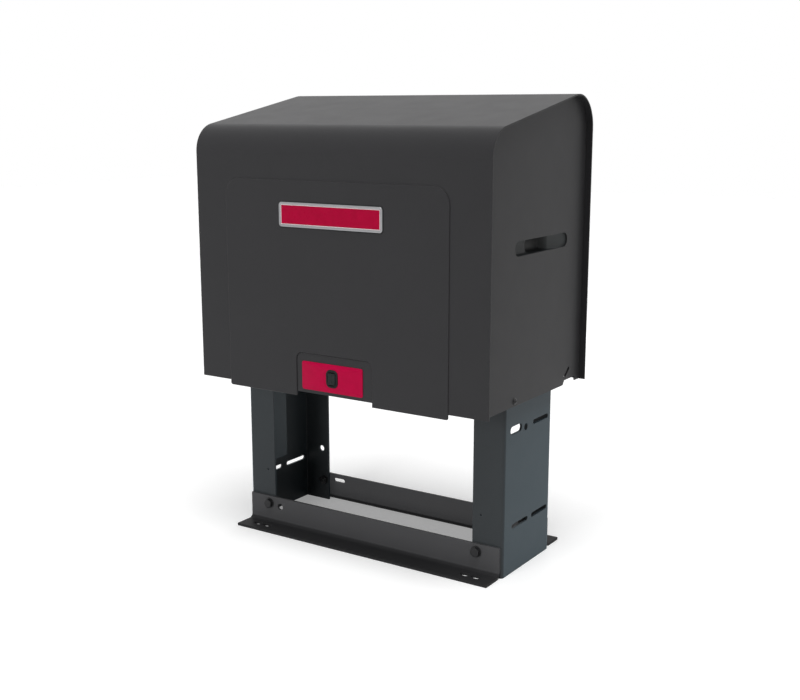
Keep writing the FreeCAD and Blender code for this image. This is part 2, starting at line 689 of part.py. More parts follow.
WHEEL_RADIUS = S.GearModule * S.WheelTeeth / 2
WHEEL_ROOM = WHEEL_RADIUS + 2 * S.GearModule
CASE_RADIUS = WHEEL_ROOM + S.CaseRim
OUTPUT_HEIGHT = DECK_TOP + CASE_RADIUS + S.CaseLift
WORM_RADIUS = S.WormPitchDiameter / 2
WORM_HEIGHT = OUTPUT_HEIGHT + WHEEL_RADIUS + WORM_RADIUS
OUTPUT_SHAFT = S.OutputShaftDiameter / 2
OUTPUT_BEARING = S.OutputBearingDiameter / 2
WORM_SHAFT = S.WormShaftDiameter / 2
WORM_BEARING = S.WormBearingDiameter / 2
BARREL_RADIUS = WORM_BEARING + S.BarrelWall
CHAMBER_HALF = BARREL_RADIUS + S.SideGap
CHAMBER_FRONT = S.GearboxLine - CHAMBER_HALF
CHAMBER_REAR = S.GearboxLine + CHAMBER_HALF
CASE_FRONT = CHAMBER_FRONT - S.CaseWall
COVER_REAR = CHAMBER_REAR + S.CoverSheet
FRONT_BOSS = CHAMBER_FRONT - S.OutputBearingWidth
REAR_BOSS = CHAMBER_REAR + S.OutputBearingWidth
BOSS_WALL = 8
SEAL_LIP = 3
WORM_END = S.WormBearingLine + S.WormBearingWidth / 2
COVER_SCREWS = 6
COVER_SCREW_CIRCLE = CASE_RADIUS - S.CaseRim / 2
COVER_SCREW = 6
COVER_SCREW_DEPTH = 10


def cover_screw_points():
    """Centres of the cover screws, evenly round the output shaft."""
    points = []
    for index in range(COVER_SCREWS):
        angle = 2 * math.pi * index / COVER_SCREWS
        rise = COVER_SCREW_CIRCLE * math.sin(angle)
        points.append((COVER_SCREW_CIRCLE * math.cos(angle), OUTPUT_HEIGHT + rise))
    return points


CASE_BOLT = 8
CASE_BOLT_LINES = (-20, 20)
CASE_BOLT_REACH = CASE_RADIUS + 8
CASE_TOE = 16
CASE_FOOT = 16
CASE_RIB = 3
PEDESTAL_SHARE = 0.8


def gearbox_housing():
    """The cast case: round wheel chamber, worm barrel above it, and a ribbed, footed base."""
    foot_top = DECK_TOP + CASE_FOOT
    foot_reach = CASE_RADIUS + CASE_TOE
    worm_reach = WORM_END + SEAL_LIP
    web_reach = WORM_END + 2
    pedestal = CASE_RADIUS * PEDESTAL_SHARE
    axis = (0, OUTPUT_HEIGHT)
    worm_axis = (S.GearboxLine, WORM_HEIGHT)
    depth = (CASE_FRONT, CHAMBER_REAR)
    shell = [
        rod("case_drum", "Y", depth, axis, CASE_RADIUS),
        block("case_web", (-web_reach, web_reach), depth, (OUTPUT_HEIGHT, WORM_HEIGHT)),
        rod("case_barrel", "X", (-worm_reach, worm_reach), worm_axis, BARREL_RADIUS),
        block("case_pedestal", (-pedestal, pedestal), depth, (DECK_TOP, OUTPUT_HEIGHT)),
        block("case_foot", (-foot_reach, foot_reach), depth, (DECK_TOP, foot_top)),
        rod("case_boss", "Y", (FRONT_BOSS - SEAL_LIP, CASE_FRONT), axis, OUTPUT_BEARING + BOSS_WALL),
    ]
    for side in (-1, 1):
        rib_xs = sorted((side * pedestal, side * (foot_reach - CASE_RIB)), key=number_of)
        rib_ys = (S.GearboxLine - CASE_RIB, S.GearboxLine + CASE_RIB)
        shell.append(block(f"case_rib_{side + 1}", rib_xs, rib_ys, (DECK_TOP, foot_top + CASE_FOOT)))
    holes = [
        rod("wheel_chamber", "Y", (CHAMBER_FRONT, CHAMBER_REAR + CUT_MARGIN), axis, WHEEL_ROOM),
        rod("front_bearing_seat", "Y", (FRONT_BOSS, CHAMBER_FRONT), axis, OUTPUT_BEARING),
        rod("front_shaft_hole", "Y", (FRONT_BOSS - 2 * SEAL_LIP, FRONT_BOSS), axis, OUTPUT_SHAFT + S.SideGap),
        rod("worm_room", "X", (-WORM_END, WORM_END), worm_axis, WORM_BEARING),
        rod("worm_shaft_hole", "X", (-(WORM_END + 1), worm_reach + SEAL_LIP), worm_axis, WORM_SHAFT + S.SideGap),
    ]
    for side in (-1, 1):
        for line in CASE_BOLT_LINES:
            across = (side * CASE_BOLT_REACH, S.GearboxLine + line)
            span = (DECK_TOP - 1, foot_top + 1)
            holes.append(rod(f"foot_hole_{side + 1}_{line}", "Z", span, across, CASE_BOLT / 2 + BOLT_GAP))
    for index, across in enumerate(cover_screw_points()):
        span = (CHAMBER_REAR - COVER_SCREW_DEPTH, CHAMBER_REAR + 1)
        holes.append(rod(f"case_screw_hole_{index}", "Y", span, across, COVER_SCREW / 2))
    node("gearbox_housing", cut("gearbox_housing", fuse("case_shell", *shell), *holes))


def gearbox_cover():
    """The rear cover, which carries the second output bearing."""
    axis = (0, OUTPUT_HEIGHT)
    boss_rear = REAR_BOSS + SEAL_LIP
    plate = rod("cover_plate", "Y", (CHAMBER_REAR, COVER_REAR), axis, CASE_RADIUS)
    boss = rod("cover_boss", "Y", (COVER_REAR, boss_rear), axis, OUTPUT_BEARING + BOSS_WALL)
    seat = rod("cover_seat", "Y", (CHAMBER_REAR - 1, REAR_BOSS), axis, OUTPUT_BEARING)
    hole = rod("cover_hole", "Y", (REAR_BOSS, boss_rear + SEAL_LIP), axis, OUTPUT_SHAFT + S.SideGap)
    holes = [seat, hole]
    for index, across in enumerate(cover_screw_points()):
        span = (CHAMBER_REAR - 1, COVER_REAR + 1)
        holes.append(rod(f"cover_screw_hole_{index}", "Y", span, across, COVER_SCREW / 2))
    node("gearbox_cover", cut("gearbox_cover", fuse("cover_solid", plate, boss), *holes))


def ring(name, axis, span, across, inner, outer):
    middle = rod(f"{name}_inside", axis, (span[0] - 1, span[1] + 1), across, inner)
    return cut(name, rod(f"{name}_outside", axis, span, across, outer), middle)


def gearbox_bearings():
    """Ball bearings of the output shaft and the worm shaft, each as one ring."""
    across = (0, OUTPUT_HEIGHT)
    bore = OUTPUT_SHAFT + S.RunningGap
    worm_across = (S.GearboxLine, WORM_HEIGHT)
    worm_bore = WORM_SHAFT + S.RunningGap
    rings = [
        ring("front_output_bearing", "Y", (FRONT_BOSS, CHAMBER_FRONT), across, bore, OUTPUT_BEARING),
        ring("rear_output_bearing", "Y", (CHAMBER_REAR, REAR_BOSS), across, bore, OUTPUT_BEARING),
    ]
    for side in (-1, 1):
        inner = side * (S.WormBearingLine - S.WormBearingWidth / 2)
        span = sorted((inner, side * WORM_END), key=number_of)
        rings.append(ring(f"worm_bearing_{side + 1}", "X", span, worm_across, worm_bore, WORM_BEARING))
    node("gearbox_bearings", group("gearbox_bearings", *rings))


SHAFT_REACH = S.BeltLine + 14
WORM_TIP = WORM_RADIUS + S.GearModule
WORM_ROOT = WORM_RADIUS - 1.25 * S.GearModule
PRESSURE_ANGLE = math.radians(20)


def worm_shaft():
    """The input shaft with its worm: a right-hand thread of trapezoid section."""
    piece = Piece("worm_core")
    thread_half = S.GearModule * math.pi * S.WormTurns / 2
    shoulder = S.WormBearingLine - S.WormBearingWidth / 2
    left = -(WORM_END - 1)
    piece.revolve("XZ", outline(
        (left, 0), (left, WORM_SHAFT), (-shoulder, WORM_SHAFT), (-shoulder, WORM_SHAFT + 2),
        (-thread_half - 4, WORM_SHAFT + 2), (-thread_half, WORM_ROOT), (thread_half, WORM_ROOT),
        (thread_half + 4, WORM_SHAFT + 2), (shoulder, WORM_SHAFT + 2), (shoulder, WORM_SHAFT),
        (SHAFT_REACH, WORM_SHAFT), (SHAFT_REACH, 0)))
    lead = number_of(S.GearModule) * math.pi
    turns = number_of(S.WormTurns) - 1
    root = number_of(WORM_ROOT) - 0.3
    tip = number_of(WORM_TIP)
    pitch = number_of(WORM_RADIUS)
    helix = Part.makeHelix(lead, lead * turns, root)
    half_at_pitch = lead / 4 - number_of(S.MeshBacklash) / 2
    half_at_tip = half_at_pitch - (tip - pitch) * math.tan(PRESSURE_ANGLE)
    half_at_root = half_at_pitch + (pitch - root) * math.tan(PRESSURE_ANGLE)
    corners = [(root, -half_at_root), (tip, -half_at_tip), (tip, half_at_tip), (root, half_at_root)]
    section = Part.makePolygon([Vector(x, 0, z) for x, z in corners + corners[:1]])
    thread = doc.addObject("Part::Feature", "worm_thread")
    thread.Shape = Part.Wire(helix).makePipeShell([section], True, True)
    # A crest faces the wheel at rest, whatever the number of turns
    turn = TURN_TO["X"] * FreeCAD.Rotation(Vector(0, 0, 1), -180 * turns)
    move(thread, -lead * turns / 2, S.GearboxLine, WORM_HEIGHT, turn)
    move(piece.body, 0, S.GearboxLine, WORM_HEIGHT)
    node("worm_shaft", fuse("worm_shaft", piece.body, thread))


def involute(base, radius):
    """Polar angle reached by an involute of a base circle at a radius."""
    opening = math.sqrt(max((radius / base) ** 2 - 1, 0))
    return opening - math.atan(opening)


def gear_gap(module, teeth, backlash, steps=4):
    """One gap between involute gear teeth, centred on the vertical."""
    pitch = module * teeth / 2
    base = pitch * math.cos(PRESSURE_ANGLE)
    root = pitch - 1.25 * module
    tip = pitch + module
    half_gap = math.pi / (2 * teeth) + backlash / (2 * pitch)
    flank = []
    for step in range(steps + 1):
        radius = max(base, root) + (tip - max(base, root)) * step / steps
        angle = half_gap + involute(base, radius) - involute(base, pitch)
        flank.append((radius * math.sin(angle), radius * math.cos(angle)))
    low = (flank[0][0] * 0.98, root * math.cos(half_gap))
    high = (flank[-1][0] * 1.05, tip + module)
    right = [low] + flank + [high]
    left = [(-x, y) for x, y in reversed(right)]
    return outline(*(right + left))


def worm_wheel():
    """The bronze wheel, its tooth gaps slanted to the worm's lead."""
    module = number_of(S.GearModule)
    half = S.WheelFace / 2
    piece = Piece("worm_wheel")
    piece.pad("XZ", (-half, half), circle((0, 0), WHEEL_RADIUS + S.GearModule))
    gap = piece.feature("PartDesign::Pocket", "gap")
    gap.Profile = piece.sketch("XZ", 0, [gear_gap(module, number_of(S.WheelTeeth), number_of(S.MeshBacklash))])
    gap.Midplane = True
    bind(gap, "Length", S.WheelFace * 2)
    gap.UseCustomVector = True
    gap.Direction = Vector(module / number_of(S.WormPitchDiameter), 1, 0)
    piece.done(gap)
    piece.repeat(gap, S.WheelTeeth)
    hub_radius = OUTPUT_SHAFT + 9
    hub_half = CHAMBER_HALF - S.SideGap
    piece.pad("XZ", (-hub_half, hub_half), circle((0, 0), hub_radius))
    piece.pocket("XZ", (-hub_half - 1, hub_half + 1), circle((0, 0), OUTPUT_SHAFT))
    web_radius = (hub_radius + WHEEL_RADIUS) / 2
    hole = piece.pocket("XZ", (-half - 1, half + 1), circle((web_radius, 0), 5))
    piece.repeat(hole, 6)
    move(piece.body, 0, S.GearboxLine, OUTPUT_HEIGHT)
    node("worm_wheel", piece.body)


ENCODER_FRONT = REAR_BOSS + SEAL_LIP + S.EncoderGap
ENCODER_REAR = ENCODER_FRONT + S.EncoderFace
SPROCKET_HUB_FRONT = 8
SPROCKET_HUB_REAR = 16
SHAFT_NOSE = S.ChainLine + SPROCKET_HUB_FRONT + 3


def output_shaft():
    """The slow shaft: nose chamfered at the front, stepped down behind the cover for its gear."""
    rear = ENCODER_REAR + 3
    step = REAR_BOSS + SEAL_LIP + 1
    piece = Piece("output_shaft")
    piece.revolve("YZ", outline(
        (-SHAFT_NOSE, 0), (-SHAFT_NOSE, OUTPUT_SHAFT - 1.5), (-SHAFT_NOSE + 1.5, OUTPUT_SHAFT),
        (step, OUTPUT_SHAFT), (step, OUTPUT_SHAFT - 4), (rear, OUTPUT_SHAFT - 4), (rear, 0)))
    move(piece.body, 0, 0, OUTPUT_HEIGHT)
    node("output_shaft", piece.body)


def drive_sprocket():
    piece = sprocket("drive_sprocket", S.DriveTeeth, OUTPUT_SHAFT, OUTPUT_SHAFT + 8,
                     SPROCKET_HUB_FRONT, SPROCKET_HUB_REAR, (0, OUTPUT_HEIGHT))
    node("drive_sprocket", piece.body)


def spur_gear(name, teeth, bore, hub_radius, hub_span, at):
    module = number_of(S.EncoderModule)
    piece = Piece(name)
    span = (ENCODER_FRONT, ENCODER_REAR)
    piece.pad("XZ", span, circle((0, 0), S.EncoderModule * (teeth / 2 + 1)))
    gap = piece.pocket("XZ", (span[0] - 1, span[1] + 1),
                       gear_gap(module, number_of(teeth), number_of(S.EncoderBacklash), steps=3))
    piece.repeat(gap, teeth)
    piece.pad("XZ", hub_span, circle((0, 0), hub_radius))
    piece.pocket("XZ", (hub_span[0] - 1, max(hub_span[1], span[1], key=number_of) + 1), circle((0, 0), bore))
    move(piece.body, at[0], 0, at[1])
    return node(name, piece.body)


ENCODER_OFFSET = S.EncoderModule * (S.EncoderDriveTeeth + S.EncoderTeeth) / 2
ENCODER_X = -ENCODER_OFFSET
ENCODER_SHAFT = 3
ENCODER_PLATE = ENCODER_REAR + 4
ENCODER_PLATE_SHEET = 3
ENCODER_PLATE_HALF = 34
ENCODER_POST = 4
ENCODER_POST_RISE = 26
ENCODER_CAN = 15
ENCODER_CAN_DEPTH = 16
ENCODER_PLUG = 6
GEAR_SEAT = OUTPUT_SHAFT - 4
GEAR_HUB_WALL = 4


def encoder():
    """Gear pair, carrier plate and sealed unit that count the output shaft's turns."""
    axis = (ENCODER_X, OUTPUT_HEIGHT)
    spur_gear("encoder_drive_gear", S.EncoderDriveTeeth, GEAR_SEAT, GEAR_SEAT + GEAR_HUB_WALL,
              (ENCODER_FRONT - 3, ENCODER_REAR), (0, OUTPUT_HEIGHT))
    turned = spur_gear("encoder_gear", S.EncoderTeeth, ENCODER_SHAFT, ENCODER_SHAFT + GEAR_HUB_WALL,
                       (ENCODER_FRONT, ENCODER_REAR + 2), axis)
    turn = FreeCAD.Rotation(Vector(0, 1, 0), encoder_phase())
    turned.Placement = FreeCAD.Placement(turned.Placement.Base, turn)
    stem = rod("encoder_stem", "Y", (ENCODER_FRONT - 2, ENCODER_PLATE + 6), axis, ENCODER_SHAFT)
    node("encoder_shaft", stem)
    unit_front = ENCODER_PLATE + ENCODER_PLATE_SHEET
    plate_xs = (-(CASE_RADIUS * 0.9 + 6), -8)
    plate_zs = (OUTPUT_HEIGHT - ENCODER_PLATE_HALF, OUTPUT_HEIGHT + ENCODER_PLATE_HALF)
    frame = [block("encoder_plate", plate_xs, (ENCODER_PLATE, unit_front), plate_zs)]
    for side in (-1, 1):
        across = (-(CASE_RADIUS * 0.82), OUTPUT_HEIGHT + side * ENCODER_POST_RISE)
        frame.append(rod(f"encoder_post_{side + 1}", "Y", (COVER_REAR, ENCODER_PLATE), across, ENCODER_POST))
    through = (ENCODER_PLATE - 1, unit_front + 1)
    hole = rod("encoder_plate_hole", "Y", through, axis, ENCODER_SHAFT + S.SideGap)
    shaft_room = rod("output_shaft_room", "Y", through, (0, OUTPUT_HEIGHT), OUTPUT_SHAFT)
    node("encoder_bracket", cut("encoder_bracket", fuse("encoder_frame", *frame), hole, shaft_room))
    can = rod("encoder_can", "Y", (unit_front, unit_front + ENCODER_CAN_DEPTH), axis, ENCODER_CAN)
    socket = rod("encoder_socket", "Y", (unit_front - 1, unit_front + 8), axis, ENCODER_SHAFT + S.RunningGap)
    plug_low = OUTPUT_HEIGHT + ENCODER_CAN - 2
    plug = block("encoder_plug", (ENCODER_X - ENCODER_PLUG, ENCODER_X + ENCODER_PLUG),
                 (unit_front + 2, unit_front + 12), (plug_low, plug_low + 9))
    node("encoder_unit", cut("encoder_unit", fuse("encoder_body", can, plug), socket))


def encoder_phase():
    """Turn of the encoder gear, in degrees about Y, that puts its gap over the drive gear's tooth."""
    drive_step = 360 / number_of(S.EncoderDriveTeeth)
    driven_step = 360 / number_of(S.EncoderTeeth)
    drive_tooth = 90 - (90 // drive_step + 0.5) * drive_step
    driven_gap = 90 - 90 // driven_step * driven_step
    return driven_gap - drive_tooth * driven_step / drive_step


# Belt drive

TABLE_HEIGHT = WORM_HEIGHT + BARREL_RADIUS + S.TableLift
MOTOR_HEIGHT = TABLE_HEIGHT + S.MotorClearance + S.MotorRadius
GROOVE_HALF = math.radians(number_of(S.GrooveAngle) / 2)


def pulley(name, pitch_radius, bore, height):
    """A turned V-belt pulley with a hub on its outer side."""
    half = S.PulleyWidth / 2
    rim = pitch_radius + S.BeltThickness / 2 + 1
    groove_top = S.BeltTop / 2 + S.BeltGap
    floor = pitch_radius - S.BeltThickness / 2 - 2
    groove_floor = groove_top - (rim - floor) * math.tan(GROOVE_HALF)
    piece = Piece(name)
    points = [
        (-half, bore), (-half, rim), (-groove_top, rim), (-groove_floor, floor),
        (groove_floor, floor), (groove_top, rim), (half, rim), (half, bore + 8), (half + 4, bore + 8),
        (half + 4, bore)]
    piece.revolve("XY", outline(*points))
    move(piece.body, S.BeltLine, S.GearboxLine, height)
    return piece


def belt_pulleys():
    node("motor_pulley", pulley("motor_pulley", S.MotorPulleyRadius, S.MotorShaftDiameter / 2, MOTOR_HEIGHT).body)
    driven = pulley("driven_pulley", S.DrivenPulleyRadius, WORM_SHAFT, WORM_HEIGHT)
    middle = (WORM_SHAFT + 8 + S.DrivenPulleyRadius) / 2
    window = (S.DrivenPulleyRadius - WORM_SHAFT - 8) / 2 - 8
    half = S.PulleyWidth / 2
    hole = driven.pocket("YZ", (-half - 1, half + 6), circle((0, middle), window))
    driven.repeat(hole, 5)
    node("driven_pulley", driven.body)


def drive_belt():
    """The V-belt: a trapezoid section round both pulleys, in contact with neither."""
    high = number_of(MOTOR_HEIGHT)
    low = number_of(WORM_HEIGHT)
    small = number_of(S.MotorPulleyRadius)
    large = number_of(S.DrivenPulleyRadius)
    line = number_of(S.GearboxLine)
    belt_x = number_of(S.BeltLine)
    lean = math.asin((large - small) / (high - low))
    side = Vector(0, math.cos(lean), math.sin(lean))
    tops = [Vector(belt_x, line, high) + Vector(0, way * side.y, side.z) * small for way in (-1, 1)]
    feet = [Vector(belt_x, line, low) + Vector(0, way * side.y, side.z) * large for way in (-1, 1)]
    crown = Vector(belt_x, line, high + small)
    sole = Vector(belt_x, line, low - large)
    thick = number_of(S.BeltThickness)
    outer = number_of(S.BeltTop) / 2
    inner = outer - thick * math.tan(GROOVE_HALF)
    start = (feet[0] + tops[0]) * 0.5
    outward = Vector(0, -side.y, side.z)
    along = Vector(1, 0, 0)
    corners = [
        start + outward * (thick / 2) - along * outer, start + outward * (thick / 2) + along * outer,
        start - outward * (thick / 2) + along * inner, start - outward * (thick / 2) - along * inner]
    path = Part.Wire([
        Part.makeLine(start, tops[0]),
        Part.Arc(tops[0], crown, tops[1]).toShape(),
        Part.makeLine(tops[1], feet[1]),
        Part.Arc(feet[1], sole, feet[0]).toShape(),
        Part.makeLine(feet[0], start),
    ])
    section = Part.makePolygon(corners + corners[:1])
    belt = doc.addObject("Part::Feature", "drive_belt")
    belt.Shape = path.makePipeShell([section], True, False)
    node("drive_belt", belt)


# Motor

MOTOR_SHAFT = S.MotorShaftDiameter / 2
MOTOR_BEARING = S.MotorBearingDiameter / 2
MOTOR_AT = (S.GearboxLine, MOTOR_HEIGHT)
RIGHT_FACE = S.MotorRight + S.EndBellDepth
LEFT_FACE = -(S.MotorLeft + S.EndBellDepth)


def motor_table():
    """A bent sheet table that carries the motor over the gearbox, open front and rear."""
    front = S.TableFrontInset - HALF_DEPTH
    rear = HALF_DEPTH - S.TableRearInset
    sheet_thick = S.TableSheet
    foot = 24
    low = DECK_TOP
    top = TABLE_HEIGHT
    piece = Piece("motor_table")
    piece.pad("YZ", (-S.TableHalfWidth, S.TableHalfWidth), outline(
        (front, low), (front, top), (rear, top), (rear, low),
        (rear - foot, low), (rear - foot, low + sheet_thick),
        (rear - sheet_thick, low + sheet_thick), (rear - sheet_thick, top - sheet_thick),
        (front + sheet_thick, top - sheet_thick), (front + sheet_thick, low + sheet_thick),
        (front + foot, low + sheet_thick), (front + foot, low)))
    bend = S.InsideBend + sheet_thick
    piece.round("YZ", [(front, top), (rear, top)], bend)
    window = (-(S.TableHalfWidth - 16), S.TableHalfWidth - 16)
    opening = rectangle(window, (low + sheet_thick + 14, top - 30))
    piece.pocket("XZ", (front - CUT_MARGIN, rear + CUT_MARGIN), opening)
    slots = []
    for x in CRADLE_LINES:
        for side in (-1, 1):
            slots.append(slot((x, S.GearboxLine + side * CRADLE_HOLE), 10, 9, slope=90))
    piece.pocket("XY", (top - sheet_thick - CUT_MARGIN, top + CUT_MARGIN), *slots)
    node("motor_table", piece.body)


CRADLE_LINES = (-52, 38)
CRADLE_HALF = 9
CRADLE_REACH = 59
CRADLE_HOLE = 50
CRADLE_FOOT = 6
CRADLE_SADDLE = 40
CRADLE_BOLT = 8


def motor_cradles():
    """Two saddles under the motor shell, bolted through the table."""
    cradles = []
    top = TABLE_HEIGHT
    for index, x in enumerate(CRADLE_LINES):
        xs = (x - CRADLE_HALF, x + CRADLE_HALF)
        saddle = block(f"saddle_{index}", xs, (S.GearboxLine - CRADLE_SADDLE, S.GearboxLine + CRADLE_SADDLE),
                       (top, MOTOR_HEIGHT - 30))
        foot = block(f"saddle_foot_{index}", xs, (S.GearboxLine - CRADLE_REACH, S.GearboxLine + CRADLE_REACH),
                     (top, top + CRADLE_FOOT))
        seat = rod(f"saddle_seat_{index}", "X", (x - CRADLE_HALF - 1, x + CRADLE_HALF + 1), MOTOR_AT, S.MotorRadius)
        holes = []
        for side in (-1, 1):
            across = (x, S.GearboxLine + side * CRADLE_HOLE)
            span = (top - 1, top + CRADLE_FOOT + 1)
            name = f"saddle_hole_{index}_{side + 1}"
            holes.append(rod(name, "Z", span, across, CRADLE_BOLT / 2 + BOLT_GAP))
        cradles.append(cut(f"cradle_{index}", fuse(f"cradle_solid_{index}", saddle, foot), seat, *holes))
    node("motor_cradles", group("motor_cradles", *cradles))


def mechanism_bolts():
    """Bolts that hold the gearbox's feet, its cover and the motor's cradles."""
    bolts = []
    for index, across in enumerate(cover_screw_points()):
        tail = CHAMBER_REAR - COVER_SCREW_DEPTH + 1
        bolts.append(bolt(f"cover_screw_{index}", "Y", COVER_REAR, tail, across, COVER_SCREW))
    for side in (-1, 1):
        for line in CASE_BOLT_LINES:
            across = (side * CASE_BOLT_REACH, S.GearboxLine + line)
            name = f"case_bolt_{side + 1}_{line}"
            bolts.append(bolt(name, "Z", DECK_TOP + CASE_FOOT, DECK_TOP, across, CASE_BOLT))
    for x in CRADLE_LINES:
        for side in (-1, 1):
            across = (x, S.GearboxLine + side * CRADLE_HOLE)
            under = TABLE_HEIGHT - S.TableSheet
            name = f"cradle_bolt_{x}_{side + 1}"
            head = TABLE_HEIGHT + CRADLE_FOOT
            bolts.append(bolt(name, "Z", head, under - CRADLE_BOLT, across, CRADLE_BOLT, nut=under))
    node("mechanism_bolts", group("mechanism_bolts", *bolts))


STACK_INSET = 14


def motor_shell():
    """The motor's steel shell with the laminated stator pressed into it."""
    radius = S.MotorRadius
    bore = radius - S.MotorWall
    stack = (STACK_INSET - S.MotorLeft, S.MotorRight - STACK_INSET)
    node("motor_housing", ring("motor_housing", "X", (-S.MotorLeft, S.MotorRight), MOTOR_AT, bore, radius))
    node("stator", ring("stator", "X", stack, MOTOR_AT, S.RotorRadius + S.AirGap, bore))


def end_bell(name, side, face):
    """A domed cast end with a bearing seat; side is +1 on the belt end."""
    start = side * face
    bell = S.EndBellDepth
    radius = S.MotorRadius
    end = start + side * bell
    hub = MOTOR_BEARING + 6
    piece = Piece(name)
    piece.revolve("XY", outline(
        (start, MOTOR_BEARING), (start, hub), (start + side * 4, hub), (start + side * (bell - 8), radius - 14),
        (start, radius - S.MotorWall - 2), (start, radius), (start + side * (bell - 12), radius),
        (end, radius - 16), (end, MOTOR_SHAFT + S.SideGap),
        (start + side * S.MotorBearingWidth, MOTOR_SHAFT + S.SideGap), (start + side * S.MotorBearingWidth, MOTOR_BEARING)))
    move(piece.body, 0, S.GearboxLine, MOTOR_HEIGHT)
    return piece.body


def end_bells():
    right = end_bell("right_end_bell", 1, S.MotorRight)
    left = end_bell("left_end_bell", -1, S.MotorLeft)
    node("right_end_bell", right)
    node("left_end_bell", left)


def motor_bearings():
    bore = MOTOR_SHAFT + S.RunningGap
    width = S.MotorBearingWidth
    node("motor_bearings", group(
        "motor_bearings",
        ring("right_motor_bearing", "X", (S.MotorRight, S.MotorRight + width), MOTOR_AT, bore, MOTOR_BEARING),
        ring("left_motor_bearing", "X", (-S.MotorLeft - width, -S.MotorLeft), MOTOR_AT, bore, MOTOR_BEARING)))


def rotor_shaft():
    rotor_left = -(S.MotorLeft - 18)
    rotor_right = S.MotorRight - 18
    piece = Piece("rotor_shaft")
    fan_end = LEFT_FACE - (S.FanCoverDepth - 14)
    piece.revolve("XY", outline(
        (fan_end, 0), (fan_end, MOTOR_SHAFT), (rotor_left, MOTOR_SHAFT), (rotor_left, S.RotorRadius),
        (rotor_right, S.RotorRadius), (rotor_right, MOTOR_SHAFT), (SHAFT_REACH, MOTOR_SHAFT), (SHAFT_REACH, 0)))
    move(piece.body, 0, S.GearboxLine, MOTOR_HEIGHT)
    node("rotor_shaft", piece.body)


def cooling_fan():
    """A moulded radial fan on the tail of the motor shaft."""
    hub_right = LEFT_FACE - 6
    hub_left = hub_right - 20
    blade_tip = S.MotorRadius - 14
    piece = Piece("cooling_fan")
    piece.pad("YZ", (hub_left, hub_right), circle((0, 0), MOTOR_SHAFT + 6))
    blade = piece.pad("YZ", (hub_left, hub_right), rectangle((-1.25, 1.25), (MOTOR_SHAFT + 3, blade_tip)))
    piece.repeat(blade, S.FanBlades)
    piece.pad("YZ", (hub_right - 2, hub_right), circle((0, 0), blade_tip - 6))
    piece.pocket("YZ", (hub_left - 1, hub_right + 1), circle((0, 0), MOTOR_SHAFT))
    move(piece.body, 0, S.GearboxLine, MOTOR_HEIGHT)
    node("cooling_fan", piece.body)


FAN_COVER_GAP = 0.3
FAN_COVER_OVERLAP = 3


def fan_cover():
    """A drawn cover that slips over the end bell's rim, with air slots in its end wall."""
    thick = 1.5
    outer = S.MotorRadius + FAN_COVER_GAP + thick
    left = LEFT_FACE - S.FanCoverDepth
    mouth = -S.MotorLeft - FAN_COVER_OVERLAP
    piece = Piece("fan_cover")
    piece.revolve("XY", outline(
        (left, 0), (left, outer - 8), (left + 8, outer), (mouth, outer), (mouth, outer - thick),
        (left + 8, outer - thick), (left + thick, outer - 8 - thick / 2), (left + thick, 0)))
    for radius in (18, 32, 46):
        air = piece.pocket("YZ", (left - 1, left + thick + 1), slot((0, radius), radius * 0.55, 5))
        piece.repeat(air, 8)
    move(piece.body, 0, S.GearboxLine, MOTOR_HEIGHT)
    node("fan_cover", piece.body)


def capacitor_cover():
    """The half-round box on top of the motor that holds its run capacitor."""
    top = MOTOR_HEIGHT + S.MotorRadius
    shell = block("capacitor_block", (-56, 44), (S.GearboxLine - 24, S.GearboxLine + 24), (top - 12, top + 30))
    seat = rod("capacitor_seat", "X", (-57, 45), MOTOR_AT, S.MotorRadius)
    body = cut("capacitor_body", shell, seat)
    rounded = doc.addObject("Part::Fillet", "capacitor_cover")
    rounded.Base = body
    doc.recompute()
    high = number_of(top) + 30
    edges = []
    for place, edge in enumerate(body.Shape.Edges, 1):
        box = edge.BoundBox
        if box.ZMin > high - 0.01 and box.XLength > 1:
            edges.append((place, 14, 14))
    rounded.Edges = edges
    node("capacitor_cover", rounded)


# Control box and batteries

BOX_LEFT = S.BoxInset - HALF_WIDTH
BOX_RIGHT = -S.BoxRight
BOX_FRONT = -S.BoxFront
BOX_TOP = TABLE_HEIGHT - S.BoxDrop
DOOR_CLEARANCE = 0.4


